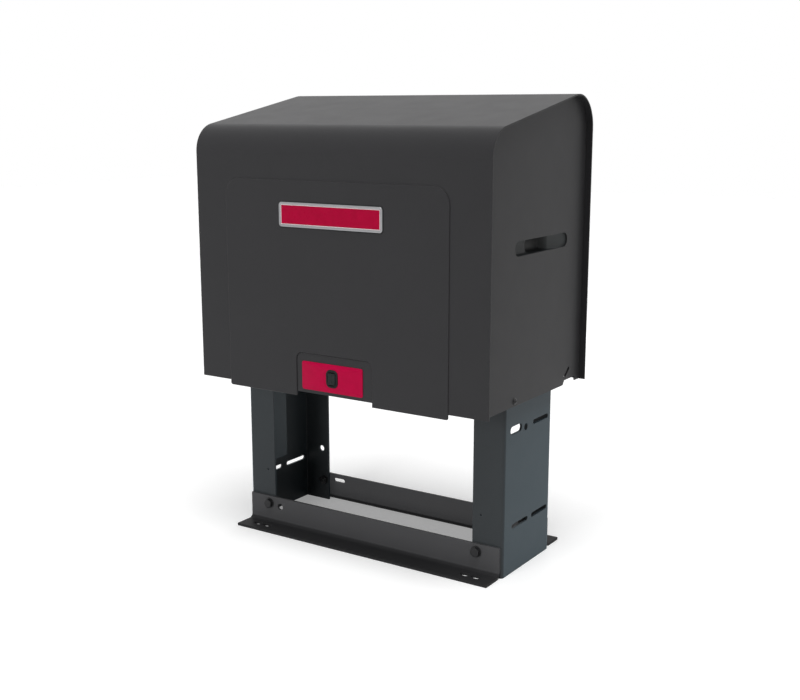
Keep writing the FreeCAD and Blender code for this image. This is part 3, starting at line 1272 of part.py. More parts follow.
def control_box():
    """A folded steel box, open at the front, with a lip all round its mouth."""
    thick = S.BoxSheet
    piece = Piece("control_box")
    piece.pad("XZ", (BOX_FRONT, S.BoxRear), rectangle((BOX_LEFT, BOX_RIGHT), (DECK_TOP, BOX_TOP)))
    piece.round("XZ", [(x, z) for x in (BOX_LEFT, BOX_RIGHT) for z in (DECK_TOP, BOX_TOP)], 4)
    piece.pocket("XZ", (BOX_FRONT + thick, S.BoxRear - thick), rectangle(
        (BOX_LEFT + thick, BOX_RIGHT - thick), (DECK_TOP + thick, BOX_TOP - thick)))
    lip = 10
    piece.pocket("XZ", (BOX_FRONT - 1, BOX_FRONT + thick + 1), rectangle(
        (BOX_LEFT + lip, BOX_RIGHT - lip), (DECK_TOP + lip, BOX_TOP - lip)))
    hinge_x = BOX_LEFT - HINGE_OUT
    knuckles = []
    for index, (low, high) in enumerate(BOX_KNUCKLES):
        span = (DECK_TOP + low, DECK_TOP + high)
        barrel = rod(f"box_knuckle_{index}", "Z", span, (hinge_x, HINGE_Y), S.HingeRadius)
        leaf = block(f"box_leaf_{index}", (hinge_x, BOX_LEFT), (HINGE_Y + 0.5, HINGE_Y + 2.5), span)
        bore = rod(f"box_knuckle_bore_{index}", "Z", (span[0] - 1, span[1] + 1), (hinge_x, HINGE_Y), S.HingePinRadius)
        knuckles.append(cut(f"box_hinge_{index}", fuse(f"box_hinge_solid_{index}", barrel, leaf), bore))
    node("control_box", fuse("control_box_whole", piece.body, *knuckles))
    pins = []
    for index, (low, high) in enumerate(PIN_SPANS):
        pins.append(rod(f"hinge_pin_{index}", "Z", (DECK_TOP + low, DECK_TOP + high), (hinge_x, HINGE_Y), S.HingePinRadius))
    node("hinge_pins", group("hinge_pins", *pins))


HINGE_OUT = S.HingeRadius + DOOR_CLEARANCE
HINGE_Y = BOX_FRONT - 1
BOX_KNUCKLES = ((30, 45), (167, 182))
DOOR_KNUCKLES = ((45.4, 60), (152, 166.6))
PIN_SPANS = ((30, 60), (152, 182))


def control_door():
    """The box's door with its turned edges, hinge knuckles and pull."""
    thick = S.DoorSheet
    back = BOX_FRONT - S.DoorGap
    front = back - thick
    hinge_x = BOX_LEFT - HINGE_OUT
    piece = Piece("control_box_door")
    left = hinge_x + S.HingeRadius + DOOR_CLEARANCE + 1
    low = DECK_TOP + 2
    piece.pad("XZ", (front, back), rectangle((left, BOX_RIGHT), (low, BOX_TOP)))
    piece.round("XZ", [(x, z) for x in (left, BOX_RIGHT) for z in (low, BOX_TOP)], 3)
    solids = [piece.body]
    cuts = []
    for index, (start, end) in enumerate(DOOR_KNUCKLES):
        span = (DECK_TOP + start, DECK_TOP + end)
        solids.append(rod(f"door_knuckle_{index}", "Z", span, (hinge_x, HINGE_Y), S.HingeRadius))
        solids.append(block(f"door_leaf_{index}", (hinge_x, left + 1), (front, back), span))
        cuts.append(rod(f"door_bore_{index}", "Z", (span[0] - 1, span[1] + 1), (hinge_x, HINGE_Y),
                        S.HingePinRadius + S.RunningGap))
    node("control_box_door", cut("control_box_door_whole", fuse("door_solids", *solids), *cuts))
    pull_x = BOX_RIGHT - 14
    middle = (DECK_TOP + BOX_TOP) / 2
    pull_front = front - 14
    bar = rod("pull_bar", "Z", (middle - 30, middle + 30), (pull_x, pull_front), 4)
    feet = []
    for side in (-1, 1):
        feet.append(rod(f"pull_foot_{side + 1}", "Y", (pull_front, front), (pull_x, middle + side * 24), 3.5))
    node("door_pull", fuse("door_pull_whole", bar, *feet))


BOARD_INSET = 14
BOARD_LIFT = 76
BOARD_SHEET = 1.6
BOARD_STAND_OFF = 8
BOARD_POST = 3
BOARD_POST_INSET = 6
RELAYS = 4
RELAY = (19, 16, 22)
RELAY_DROP = 12
PROCESSOR = (26, 3)
CAPACITORS = 3
CAPACITOR_RADIUS = 5.5
CAPACITOR_HEIGHT = 22
CAPACITOR_PITCH = 14
STRIP_SCREWS = 10
STRIP_INSET = 4
STRIP = (12, 14)
STRIP_SCREW_RADIUS = 3


def control_board(left, right, rear, low, high):
    """A board on four posts with its relays, processor and capacitors."""
    board_rear = rear - BOARD_STAND_OFF
    face = board_rear - BOARD_SHEET
    parts = [block("board_sheet", (left, right), (face, board_rear), (low, high))]
    for x in (left + BOARD_POST_INSET, right - BOARD_POST_INSET):
        for z in (low + BOARD_POST_INSET, high - BOARD_POST_INSET):
            parts.append(rod(f"board_post_{len(parts)}", "Y", (board_rear, rear), (x, z), BOARD_POST))
    pitch = (right - left - 20) / RELAYS
    relay_top = high - RELAY_DROP
    for index in range(RELAYS):
        start = left + BOARD_INSET + index * pitch
        zs = (relay_top - RELAY[2], relay_top)
        parts.append(block(f"relay_{index}", (start, start + RELAY[0]), (face - RELAY[1], face), zs))
    middle = (left + right) / 2
    half_processor = PROCESSOR[0] / 2
    processor_low = low + 40
    parts.append(block("board_processor", (middle - half_processor, middle + half_processor),
                       (face - PROCESSOR[1], face), (processor_low, processor_low + PROCESSOR[0])))
    for index in range(CAPACITORS):
        centre = (left + 24 + index * CAPACITOR_PITCH, low + 30)
        span = (face - CAPACITOR_HEIGHT, face)
        parts.append(rod(f"board_capacitor_{index}", "Y", span, centre, CAPACITOR_RADIUS))
    node("control_board", fuse("control_board_whole", *parts))
    return face


def terminal_strip(left, right, face, low):
    """A terminal strip with a row of screw wells."""
    strip = block("strip_base", (left + STRIP_INSET, right - STRIP_INSET), (face - STRIP[0], face), (low, low + STRIP[1]))
    pitch = (right - left - 12) / STRIP_SCREWS
    wells = []
    for index in range(STRIP_SCREWS):
        centre = (left + 12 + index * pitch, low + STRIP[1] / 2)
        span = (face - STRIP[0] - 1, face - 7)
        wells.append(rod(f"strip_well_{index}", "Y", span, centre, STRIP_SCREW_RADIUS))
    node("terminal_strip", cut("terminal_strip_whole", strip, *wells))


def transformer(left, right, rear):
    """A laminated core with its coil round the middle, on a bracket on the box's floor."""
    floor = DECK_TOP + S.BoxSheet
    core = block("transformer_core", (left + 14, right - 30), (rear - 92, rear - 32), (floor + 2, floor + 60))
    coil = block("transformer_coil", (left + 26, right - 42), (rear - 104, rear - 20), (floor + 10, floor + 50))
    foot = block("transformer_foot", (left + 4, right - 20), (rear - 84, rear - 40), (floor, floor + 3))
    node("transformer", fuse("transformer_whole", core, coil, foot))


def box_contents():
    """Control board, terminal strip and transformer inside the box."""
    rear = S.BoxRear - S.BoxSheet
    left = BOX_LEFT + BOARD_INSET
    right = BOX_RIGHT - BOARD_INSET
    low = DECK_TOP + BOARD_LIFT
    face = control_board(left, right, rear, low, BOX_TOP - BOARD_INSET)
    terminal_strip(left, right, face, low + 2)
    transformer(left, right, rear)


BATTERY_RIGHT = HALF_WIDTH - S.BatteryInset
BATTERY_LEFT = BATTERY_RIGHT - S.BatteryWidth
TRAY_SHEET = 2
TRAY_GAP = 0.5
BATTERY_PAD = 7


def batteries():
    """Two standby batteries stacked in a folded tray."""
    half = S.BatteryLength / 2
    tray = block("tray_solid", (BATTERY_LEFT - TRAY_GAP - TRAY_SHEET, BATTERY_RIGHT + TRAY_GAP + TRAY_SHEET),
                 (-half - TRAY_GAP - TRAY_SHEET, half + TRAY_GAP + TRAY_SHEET), (DECK_TOP, DECK_TOP + 42))
    room = block("tray_room", (BATTERY_LEFT - TRAY_GAP, BATTERY_RIGHT + TRAY_GAP), (-half - TRAY_GAP, half + TRAY_GAP),
                 (DECK_TOP + TRAY_SHEET, DECK_TOP + 43))
    node("battery_tray", cut("battery_tray", tray, room))
    cells = []
    floor = DECK_TOP + TRAY_SHEET
    for index in range(2):
        low = floor + index * (S.BatteryHeight + BATTERY_PAD)
        case = block(f"battery_case_{index}", (BATTERY_LEFT, BATTERY_RIGHT), (-half, half), (low, low + S.BatteryHeight))
        lid = block(f"battery_lid_{index}", (BATTERY_LEFT + 4, BATTERY_RIGHT - 4), (-half + 22, half - 22),
                    (low + S.BatteryHeight, low + S.BatteryHeight + BATTERY_PAD))
        tabs = []
        for side in (-1, 1):
            y = side * (half - 12)
            tabs.append(block(f"battery_tab_{index}_{side + 1}", (BATTERY_LEFT + 10, BATTERY_LEFT + 11), (y - 3, y + 3),
                              (low + S.BatteryHeight, low + S.BatteryHeight + 6)))
        cells.append(fuse(f"battery_{index}", case, lid, *tabs))
    node("batteries", group("batteries", *cells))


# Hood

FRONT_FACE = -(HALF_DEPTH + S.HoodFrontReach)
REAR_FACE = HALF_DEPTH + S.HoodRearReach
HOOD_BOTTOM = S.LegHeight - S.HoodDrop
FRONT_TOP = HOOD_BOTTOM + S.HoodFrontRise
REAR_TOP = HOOD_BOTTOM + S.HoodRearRise
RISE = REAR_TOP - FRONT_TOP
RUN = REAR_FACE - FRONT_FACE
SLANT = square_root(RISE * RISE + RUN * RUN)
HALF_HOOD = HALF_WIDTH + S.HoodOverhang
PANEL_FACE = HALF_HOOD - S.SidePanelInset
PANEL_BOTTOM = HOOD_BOTTOM - S.PanelDrop
NOTCH_TOP = HOOD_BOTTOM + S.NotchRise
GRIP_HEIGHT = HOOD_BOTTOM + S.GripRise
NOTCH = ((-S.NotchLeft, S.NotchRight), (PANEL_BOTTOM - CUT_MARGIN, NOTCH_TOP))


def roof(depth, y):
    """Height of the sloping top, a depth below its outer face, at a distance along Y."""
    fall = depth * SLANT / RUN
    return FRONT_TOP - fall + (y - FRONT_FACE) * RISE / RUN


def hood_wrap():
    """One sheet bent over front, sloping top and rear, with the notch for the switch plate."""
    thick = S.HoodSheet
    low = HOOD_BOTTOM
    inner_front = FRONT_FACE + thick
    inner_rear = REAR_FACE - thick
    piece = Piece("hood_wrap")
    piece.pad("YZ", (-HALF_HOOD, HALF_HOOD), outline(
        (FRONT_FACE, low), (FRONT_FACE, FRONT_TOP), (REAR_FACE, REAR_TOP), (REAR_FACE, low),
        (inner_rear, low), (inner_rear, roof(thick, inner_rear)), (inner_front, roof(thick, inner_front)),
        (inner_front, low)))
    piece.round("YZ", [(FRONT_FACE, FRONT_TOP)], S.FrontBendRadius)
    piece.round("YZ", [(REAR_FACE, REAR_TOP)], S.RearBendRadius)
    piece.round("YZ", [(inner_front, roof(thick, inner_front))], S.FrontBendRadius - thick)
    piece.round("YZ", [(inner_rear, roof(thick, inner_rear))], S.RearBendRadius - thick)
    piece.pocket("XZ", (FRONT_FACE - CUT_MARGIN, inner_front + CUT_MARGIN), rectangle(*NOTCH))
    corners = [(-S.NotchLeft, NOTCH_TOP), (S.NotchRight, NOTCH_TOP)]
    piece.round("XZ", corners, S.NotchCornerRadius)
    node("hood_wrap", piece.body)


def hood_side(name, side):
    """A flat side panel inside the wrap, with the grip's opening, rear notch and slit."""
    thick = S.HoodSheet
    front = FRONT_FACE + thick
    rear = REAR_FACE - thick
    low = HOOD_BOTTOM
    face = side * PANEL_FACE
    back = side * (PANEL_FACE - thick)
    span = sorted((face, back), key=number_of)
    piece = Piece(name)
    piece.pad("YZ", span, outline((front, low), (front, roof(thick, front)), (rear, roof(thick, rear)), (rear, low)))
    piece.round("YZ", [(front, roof(thick, front))], S.FrontBendRadius - thick)
    piece.round("YZ", [(rear, roof(thick, rear))], S.RearBendRadius - thick)
    through = (span[0] - CUT_MARGIN, span[1] + CUT_MARGIN)
    notch = outline(
        (S.RearNotchFront, low - CUT_MARGIN), (S.RearNotchFront + 8, low + S.RearNotchRise),
        (S.RearNotchRear - 3, low + S.RearNotchRise), (S.RearNotchRear, low - CUT_MARGIN))
    piece.pocket("YZ", through, notch)
    piece.pocket("YZ", through,
                 slot((S.GripLine, GRIP_HEIGHT), S.GripLength, S.GripOpening),
                 slot((S.SlitLine, low + S.SlitRise), S.SlitLength, S.SlitWidth, slope=number_of(S.SlitSlope)))
    node(name, piece.body)


GRIP_FLANGE = 6


def grip_cup(name, side):
    """A moulded finger cup behind the side panel: deepest in the middle, ramped out to the rear."""
    mouth = side * (PANEL_FACE - S.HoodSheet)
    flange_back = mouth - side * S.GripWall
    front_end = S.GripLine - S.GripLength / 2
    rear_end = S.GripLine + S.GripLength / 2
    low = GRIP_HEIGHT - S.GripOpening / 2
    high = GRIP_HEIGHT + S.GripOpening / 2

    def floor(thick):
        """Points of the floor from the rear to the front, a thickness behind its face."""
        depths = (
            (S.GripStepDepth, S.GripStepEnd), (S.GripDepth, S.GripDeepEnd),
            (S.GripDepth, S.GripDeepStart), (S.GripEntryDepth, S.GripEntryLength))
        return [(side * (PANEL_FACE - depth - thick), front_end + line) for depth, line in depths]

    piece = Piece(name)
    entry = side * (PANEL_FACE - S.GripEntryDepth)
    outer = [(mouth, front_end - GRIP_FLANGE), (mouth, rear_end + GRIP_FLANGE), (flange_back, rear_end + GRIP_FLANGE)]
    outer += [(flange_back, rear_end)] + floor(S.GripWall)
    outer += [(entry - side * S.GripWall, front_end - S.GripWall), (flange_back, front_end - S.GripWall)]
    outer += [(flange_back, front_end - GRIP_FLANGE)]
    piece.pad("XY", (low - S.GripWall, high + S.GripWall), outline(*outer))
    inner = [(side * (PANEL_FACE + 1), front_end), (side * (PANEL_FACE + 1), rear_end), (mouth, rear_end)]
    inner += floor(0) + [(entry, front_end)]
    piece.pocket("XY", (low, high), outline(*inner))
    node(name, piece.body)


def hood_front_panel():
    """The raised panel on the hood's front, reaching below its edge and round the notch."""
    face = FRONT_FACE - S.PanelProud
    left = S.PanelLeftInset - HALF_HOOD
    right = HALF_HOOD - S.PanelRightInset
    low = PANEL_BOTTOM
    top = HOOD_BOTTOM + S.PanelRise
    piece = Piece("hood_front_panel")
    piece.pad("XZ", (face, FRONT_FACE), outline(
        (left, low), (-S.NotchLeft, low), (-S.NotchLeft, NOTCH_TOP), (S.NotchRight, NOTCH_TOP),
        (S.NotchRight, low), (right, low), (right, top), (left, top)))
    piece.round("XZ", [(-S.NotchLeft, NOTCH_TOP), (S.NotchRight, NOTCH_TOP)], S.NotchCornerRadius)
    piece.round("XZ", [(left, top), (right, top)], S.PanelCornerRadius)
    piece.round("XZ", [(left, low), (right, low)], S.PanelFootRadius)
    front = number_of(face)
    piece.soften(lambda edge: edge.BoundBox.YMax < front + 0.01, S.PanelProud * PANEL_EDGE_SHARE)
    node("hood_front_panel", piece.body)


PANEL_EDGE_SHARE = 0.9


def nameplate():
    """A blank plate: a bright rim round a coloured field."""
    face = FRONT_FACE - S.PanelProud
    front = face - S.PlateThickness
    xs = (-S.PlateLeft, S.PlateRight)
    low = HOOD_BOTTOM + S.PlateRise
    zs = (low, low + S.PlateHeight)
    rim = S.PlateRim
    field_xs = (xs[0] + rim, xs[1] - rim)
    field_zs = (zs[0] + rim, zs[1] - rim)
    frame = Piece("nameplate_frame")
    frame.pad("XZ", (front, face), rectangle(xs, zs))
    frame.round("XZ", [(x, z) for x in xs for z in zs], S.PlateCornerRadius)
    frame.pocket("XZ", (front - 1, face + 1), rectangle(field_xs, field_zs))
    node("nameplate_frame", frame.body)
    field = Piece("nameplate_field")
    field.pad("XZ", (front + S.PlateThickness / 2, face), rectangle(field_xs, field_zs))
    node("nameplate_field", field.body)


def hood_rests():
    """Angle brackets on the side panels that sit over the tops of the legs."""
    rests = []
    thick = S.HoodSheet
    for side in (-1, 1):
        wall = side * (PANEL_FACE - thick)
        wall_inner = side * (PANEL_FACE - 2 * thick)
        toe = side * (PLATE_FACE - 5)
        low = DECK_TOP + S.RestGap
        ys = (-S.RestLength / 2, S.RestLength / 2)
        foot = block(f"rest_foot_{side + 1}", sorted((wall, toe), key=number_of), ys, (low, low + thick))
        back = block(f"rest_back_{side + 1}", sorted((wall, wall_inner), key=number_of), ys, (low, low + 40))
        rests.append(fuse(f"hood_rest_{side + 1}", foot, back))
    node("hood_rests", group("hood_rests", *rests))


def hood_screws():
    """Cover screws at the front of each side panel's lower edge."""
    screws = []
    for side in (-1, 1):
        face = side * PANEL_FACE
        head = side * (PANEL_FACE + 2.6)
        span = sorted((face, head), key=number_of)
        rims = sorted((face, side * (PANEL_FACE + 1)), key=number_of)
        across = (-S.HoodScrewLine, HOOD_BOTTOM + S.HoodScrewRise)
        button = rod(f"screw_button_{side + 1}", "X", span, across, 4.5)
        washer = rod(f"screw_washer_{side + 1}", "X", rims, across, 6)
        screws.append(fuse(f"hood_screw_{side + 1}", button, washer))
    node("hood_screws", group("hood_screws", *screws))


# Switch plate behind the notch

BRACKET_FRONT = FRONT_FACE
BRACKET_BACK = BRACKET_FRONT + S.BracketSheet


def switch_bracket():
    """A folded bracket from the deck to the hood's notch, which the hood lifts clear of."""
    xs = (-(S.NotchLeft - S.BracketGap), S.NotchRight - S.BracketGap)
    low = HOOD_BOTTOM - 1
    top = NOTCH_TOP - S.BracketGap
    deck_face = -(HALF_DEPTH - S.StandSheet - S.DeckGap)
    thick = S.BracketSheet
    face = Piece("switch_face")
    face.pad("XZ", (BRACKET_FRONT, BRACKET_BACK), rectangle(xs, (low, top)))
    face.round("XZ", [(x, top) for x in xs], S.NotchCornerRadius - S.BracketGap)
    shelf = block("switch_shelf", xs, (BRACKET_FRONT, deck_face), (low, low + thick))
    tab = block("switch_tab", xs, (deck_face - thick, deck_face), (low - 8, low + thick))
    solids = [face.body, shelf, tab]
    for word, cheek_xs in (("left", (xs[0], xs[0] + thick)), ("right", (xs[1] - thick, xs[1]))):
        solids.append(block(f"switch_cheek_{word}", cheek_xs, (BRACKET_FRONT, BRACKET_FRONT + 30), (low, low + 36)))
    room = block("switch_room", SWITCH_XS, (BRACKET_FRONT - 1, BRACKET_BACK + 1), SWITCH_ZS)
    node("switch_bracket", cut("switch_bracket", fuse("switch_bracket_solid", *solids), room))


SWITCH_HEIGHT = HOOD_BOTTOM + S.SwitchRise
SWITCH_ROOM_WIDTH = S.BezelWidth / 2 - S.BezelRim
SWITCH_ROOM_HEIGHT = S.BezelHeight / 2 - S.BezelRim
SWITCH_XS = (S.SwitchLine - SWITCH_ROOM_WIDTH, S.SwitchLine + SWITCH_ROOM_WIDTH)
SWITCH_ZS = (SWITCH_HEIGHT - SWITCH_ROOM_HEIGHT, SWITCH_HEIGHT + SWITCH_ROOM_HEIGHT)


def switch_plate():
    """The coloured plate round the switch, left blank."""
    piece = Piece("switch_plate")
    xs = (-S.SwitchPlateLeft, S.SwitchPlateRight)
    low = HOOD_BOTTOM + S.SwitchPlateRise
    zs = (low, low + S.SwitchPlateHeight)
    face = BRACKET_FRONT - S.SwitchPlateSheet
    piece.pad("XZ", (face, BRACKET_FRONT), rectangle(xs, zs))
    piece.round("XZ", [(x, z) for x in xs for z in zs], S.SwitchPlateRadius)
    piece.pocket("XZ", (face - 1, BRACKET_FRONT + 1), rectangle(SWITCH_XS, SWITCH_ZS))
    node("switch_plate", piece.body)


PIVOT_RADIUS = 1.2


def rocker_switch():
    """Snap-in switch: a bezel with its body behind the plate, and the rocker on its pivot."""
    wall = 1.5
    bezel_back = BRACKET_FRONT - S.SwitchPlateSheet
    bezel_front = bezel_back - S.BezelProud
    body_rear = bezel_back + S.SwitchBodyDepth
    half_width = S.BezelWidth / 2
    half_height = S.BezelHeight / 2
    bezel = block("bezel_rim", (S.SwitchLine - half_width, S.SwitchLine + half_width), (bezel_front, bezel_back),
                  (SWITCH_HEIGHT - half_height, SWITCH_HEIGHT + half_height))
    body = block("bezel_body", SWITCH_XS, (bezel_back, body_rear), SWITCH_ZS)
    room = block("bezel_room", (SWITCH_XS[0] + wall, SWITCH_XS[1] - wall), (bezel_front - 1, body_rear - wall),
                 (SWITCH_ZS[0] + wall, SWITCH_ZS[1] - wall))
    pivot_y = bezel_back + S.RockerPivotInset
    bore = rod("pivot_bore", "X", (SWITCH_XS[0] - 1, SWITCH_XS[1] + 1), (pivot_y, SWITCH_HEIGHT),
               PIVOT_RADIUS + S.RunningGap)
    node("switch_bezel", cut("switch_bezel", fuse("bezel_solid", bezel, body), room, bore))
    reach = (SWITCH_ZS[1] - SWITCH_ZS[0]) / 2 - wall - S.RockerGap
    xs = (SWITCH_XS[0] + wall + 0.3, SWITCH_XS[1] - wall - 0.3)
    slope = math.tan(math.radians(number_of(S.RockerTilt)))
    face_middle = -(S.RockerPivotInset + S.BezelProud)
    face_edge = face_middle - reach * slope
    piece = Piece("rocker_button")
    piece.pad("YZ", xs, outline(
        (face_middle, 0), (face_edge, reach), (2, reach), (6, 4), (6, -4), (2, -reach), (face_edge, -reach)))
    piece.pad("YZ", (SWITCH_XS[0] + S.RunningGap, SWITCH_XS[1] - S.RunningGap), circle((0, 0), PIVOT_RADIUS))
    move(piece.body, 0, pivot_y, SWITCH_HEIGHT)
    node("rocker_button", piece.body)


def build():
    """Make every sub-part in the order in which it would be assembled."""
    leg("left_leg", -1)
    leg("right_leg", 1)
    base_angle("front_base_angle", -1)
    base_angle("rear_base_angle", 1)
    stand_bolts()
    chassis_deck()
    idlers()
    gearbox_housing()
    gearbox_cover()
    gearbox_bearings()
    worm_shaft()
    worm_wheel()
    output_shaft()
    drive_sprocket()
    encoder()
    belt_pulleys()
    drive_belt()
    motor_table()
    motor_cradles()
    mechanism_bolts()
    motor_shell()
    end_bells()
    motor_bearings()
    rotor_shaft()
    cooling_fan()
    fan_cover()
    capacitor_cover()
    control_box()
    control_door()
    box_contents()
    batteries()
    switch_bracket()
    switch_plate()
    rocker_switch()
    hood_wrap()
    hood_side("hood_left_panel", -1)
    hood_side("hood_right_panel", 1)
    hood_front_panel()
    nameplate()
    grip_cup("left_grip", -1)
    grip_cup("right_grip", 1)
    hood_rests()
    hood_screws()


def check():
    """Stop on any feature that failed, any cut that removed nothing and any bad shape."""
    doc.recompute()
    for item in doc.Objects:
        if "Invalid" in item.State or "Error" in item.State:
            raise RuntimeError(f"{item.Name} failed: {item.State}")
        if item.TypeId == "PartDesign::Pocket" and item.BaseFeature is not None:
            if item.Shape.Volume > item.BaseFeature.Shape.Volume - 0.01:
                raise RuntimeError(f"{item.Name} removes nothing")
    for name, item in nodes.items():
        if item.Shape.isNull() or not item.Shape.isValid() or not item.Shape.Solids:
            raise RuntimeError(f"{name} has no valid solid")


build()
check()
for name, item in nodes.items():
    item.Shape.exportStep(f"parts/{name}.step")
print(len(nodes), "sub-parts,", sum(len(item.Shape.Solids) for item in nodes.values()), "solids")
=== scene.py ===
"""Slide-gate operator: finishes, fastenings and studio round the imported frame.

Everything is in metres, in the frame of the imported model: +X to the right, +Y to the rear, +Z up.
"""
import json
import math

import bmesh
import bpy
import numpy as np
from bpy.props import FloatProperty, FloatVectorProperty, PointerProperty
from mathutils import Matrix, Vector


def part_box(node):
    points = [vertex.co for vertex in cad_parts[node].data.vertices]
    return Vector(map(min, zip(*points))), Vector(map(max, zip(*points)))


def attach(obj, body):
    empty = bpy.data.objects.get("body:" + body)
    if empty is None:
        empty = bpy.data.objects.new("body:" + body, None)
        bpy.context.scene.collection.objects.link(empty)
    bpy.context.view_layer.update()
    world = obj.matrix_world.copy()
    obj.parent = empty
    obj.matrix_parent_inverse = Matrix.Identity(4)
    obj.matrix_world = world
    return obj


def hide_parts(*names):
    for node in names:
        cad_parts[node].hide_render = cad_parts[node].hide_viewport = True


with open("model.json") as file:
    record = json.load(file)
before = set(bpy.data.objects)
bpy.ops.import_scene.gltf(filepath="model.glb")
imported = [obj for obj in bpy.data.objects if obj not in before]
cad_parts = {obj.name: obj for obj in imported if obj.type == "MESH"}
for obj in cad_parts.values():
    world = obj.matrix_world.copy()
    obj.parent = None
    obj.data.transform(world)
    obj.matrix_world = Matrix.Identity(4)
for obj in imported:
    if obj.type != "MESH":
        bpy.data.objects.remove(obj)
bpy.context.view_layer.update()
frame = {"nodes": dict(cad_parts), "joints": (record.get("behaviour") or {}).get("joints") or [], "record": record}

bl_info = {
    "name": "Gate operator",
    "version": (1, 0, 0),
    "blender": (4, 5, 0),
    "location": "3D View > Sidebar > Gate operator",
    "description": "Finishes the parts of a slide-gate operator and sets them in a studio",
    "category": "Object",
}

MM = 0.001


# Sizes and colours that a user would change

def length(name, description, millimetres):
    return FloatProperty(
        name=name, description=description, default=millimetres * MM, unit="LENGTH", precision=5)


def colour(name, description, *default):
    return FloatVectorProperty(
        name=name, description=description, default=default, subtype="COLOR", size=3, min=0, max=1)


class OperatorSizes(bpy.types.PropertyGroup):
    screw_head: length("Screw head", "Radius of a hood screw's button head", 4.5)
    screw_washer: length("Screw washer", "Radius of the washer under a hood screw", 6)
    edge_round: length("Edge rounding", "Radius that softens the edges of coated sheet", 0.7)
    rim_corner: length("Nameplate corner", "Corner radius of the nameplate's rim", 6)
    bezel_corner: length("Switch corner", "Corner radius of the switch's bezel", 9)
    mark_size: length("Switch marks", "Height of the moulded I and O on the rocker", 4)
    cup_wall: length("Cup wall", "Thickness of the moulded finger cups", 1.8)
    cog_depth: length("Belt cog depth", "Depth of the gap between two cogs", 2.6)
    fin_height: length("Fin height", "Height of the cooling fins on the motor's shell", 3.2)
    battery_round: length("Battery rounding", "Radius on the edges of the battery cases", 4)
    pull_radius: length("Pull radius", "Radius of the door pull's rod", 3.6)


class OperatorColours(bpy.types.PropertyGroup):
    hood: colour("Hood", "Powder coat of the hood", 0.0250, 0.0247, 0.0262)
    stand: colour("Stand", "Powder coat of the stand and brackets", 0.033, 0.035, 0.0365)
    # Painted light: the base angles' coats are paler than the stand's, standing in for the light on the front
    # angle's web, and paler still on the rear angle in the hood's shade
    angle: colour("Front angle", "Dull coat of the front base angle", 0.070, 0.070, 0.073)
    rear_angle: colour("Rear angle", "Dull coat of the rear base angle", 0.110, 0.110, 0.114)
    # Painted shade: a darker colour on the feet of the base angles, standing in for the hood's shade
    painted_foot_shade: colour("Grime", "Road grime on the feet of the base angles", 0.0250, 0.0250, 0.0262)
    sheen: colour("Sheen", "Blue cast of the stand's coat at a slant", 0.35, 0.75, 1.0)
    black: colour("Black", "Black zinc plate of the bolts and screws", 0.010, 0.010, 0.011)
    red: colour("Red", "Printed plate round the switch", 0.37, 0.0015, 0.038)
    field: colour("Field", "Printed field of the nameplate", 0.32, 0.0012, 0.028)
    border: colour("Border", "Thin printed border of the nameplate", 0.62, 0.55, 0.56)
    silver: colour("Silver", "Rim of the nameplate", 0.31, 0.31, 0.32)
    zinc: colour("Zinc", "Plated nuts and pins", 0.60, 0.60, 0.57)
    steel: colour("Steel", "Shafts, sprockets and bearings", 0.55, 0.55, 0.56)
    casting: colour("Casting", "Painted gearbox castings", 0.17, 0.18, 0.19)
    bronze: colour("Bronze", "Worm wheel", 0.66, 0.42, 0.16)
    nylon: colour("Nylon", "Moulded encoder gear", 0.80, 0.78, 0.70)
    iron: colour("Iron", "Web of the cast pulleys", 0.11, 0.115, 0.12)
    core: colour("Core", "Varnished core of the transformer", 0.09, 0.08, 0.075)
    rubber: colour("Rubber", "Drive belt", 0.018, 0.018, 0.019)
    enamel: colour("Enamel", "Motor shell and ends", 0.075, 0.085, 0.105)
    plastic: colour("Plastic", "Black moulded parts", 0.010, 0.012, 0.012)
    cup: colour("Cup", "Moulded finger cups", 0.021, 0.0245, 0.0255)
    box: colour("Box", "Control box and its door", 0.30, 0.31, 0.32)
    board: colour("Board", "Solder mask of the control board", 0.02, 0.16, 0.07)
    battery: colour("Battery", "Battery cases", 0.045, 0.047, 0.052)
    floor: colour("Floor", "Studio floor", 0.84, 0.84, 0.84)


def sizes():
    return bpy.context.scene.gate_operator_sizes


def colours():
    return bpy.context.scene.gate_operator_colours


# Materials

CLOUDY = (0.3, 0.7)
NOISE_ROUGHNESS = 0.55
BEVEL_SAMPLES = 4
TRUE_EDGE = 0.99
WORN_EDGE = 0.80
WHITE = (1, 1, 1, 1)


class Nodes:
    """Adds nodes to a tree; an input takes a plain value or another node's output."""

    def __init__(self, tree):
        self.tree = tree

    def feed(self, entry, value):
        if isinstance(value, bpy.types.NodeSocket):
            self.tree.links.new(value, entry)
        else:
            entry.default_value = value

    def add(self, kind, inputs=(), **settings):
        node = self.tree.nodes.new("ShaderNode" + kind)
        for name, value in settings.items():
            setattr(node, name, value)
        for key, value in dict(inputs).items():
            self.feed(node.inputs[key], value)
        return node

    def math(self, operation, first, second=0.0):
        return self.add("Math", {0: first, 1: second}, operation=operation).outputs[0]

    def vector(self, operation, first, second=(0, 0, 0), output="Vector"):
        entries = {0: first, 1: second}
        return self.add("VectorMath", entries, operation=operation).outputs[output]

    def distance(self, vector):
        return self.vector("LENGTH", vector, output="Value")

    def split(self, vector):
        return list(self.add("SeparateXYZ", {0: vector}).outputs)

    def joined(self, *parts):
        return self.add("CombineXYZ", dict(enumerate(parts))).outputs[0]

    def level(self, value, low, high, to_low=0.0, to_high=1.0):
        """Map a value from one range to another, clamped at both ends."""
        entries = {
            "Value": value, "From Min": low, "From Max": high, "To Min": to_low, "To Max": to_high}
        return self.add("MapRange", entries, clamp=True).outputs["Result"]

    def mix(self, share, first, second):
        """Colour between two others, by a share from 0 to 1."""
        ends = [value if isinstance(value, bpy.types.NodeSocket) else (*value, 1)
                for value in (first, second)]
        return self.add("Mix", {0: share, 6: ends[0], 7: ends[1]}, data_type="RGBA").outputs[2]


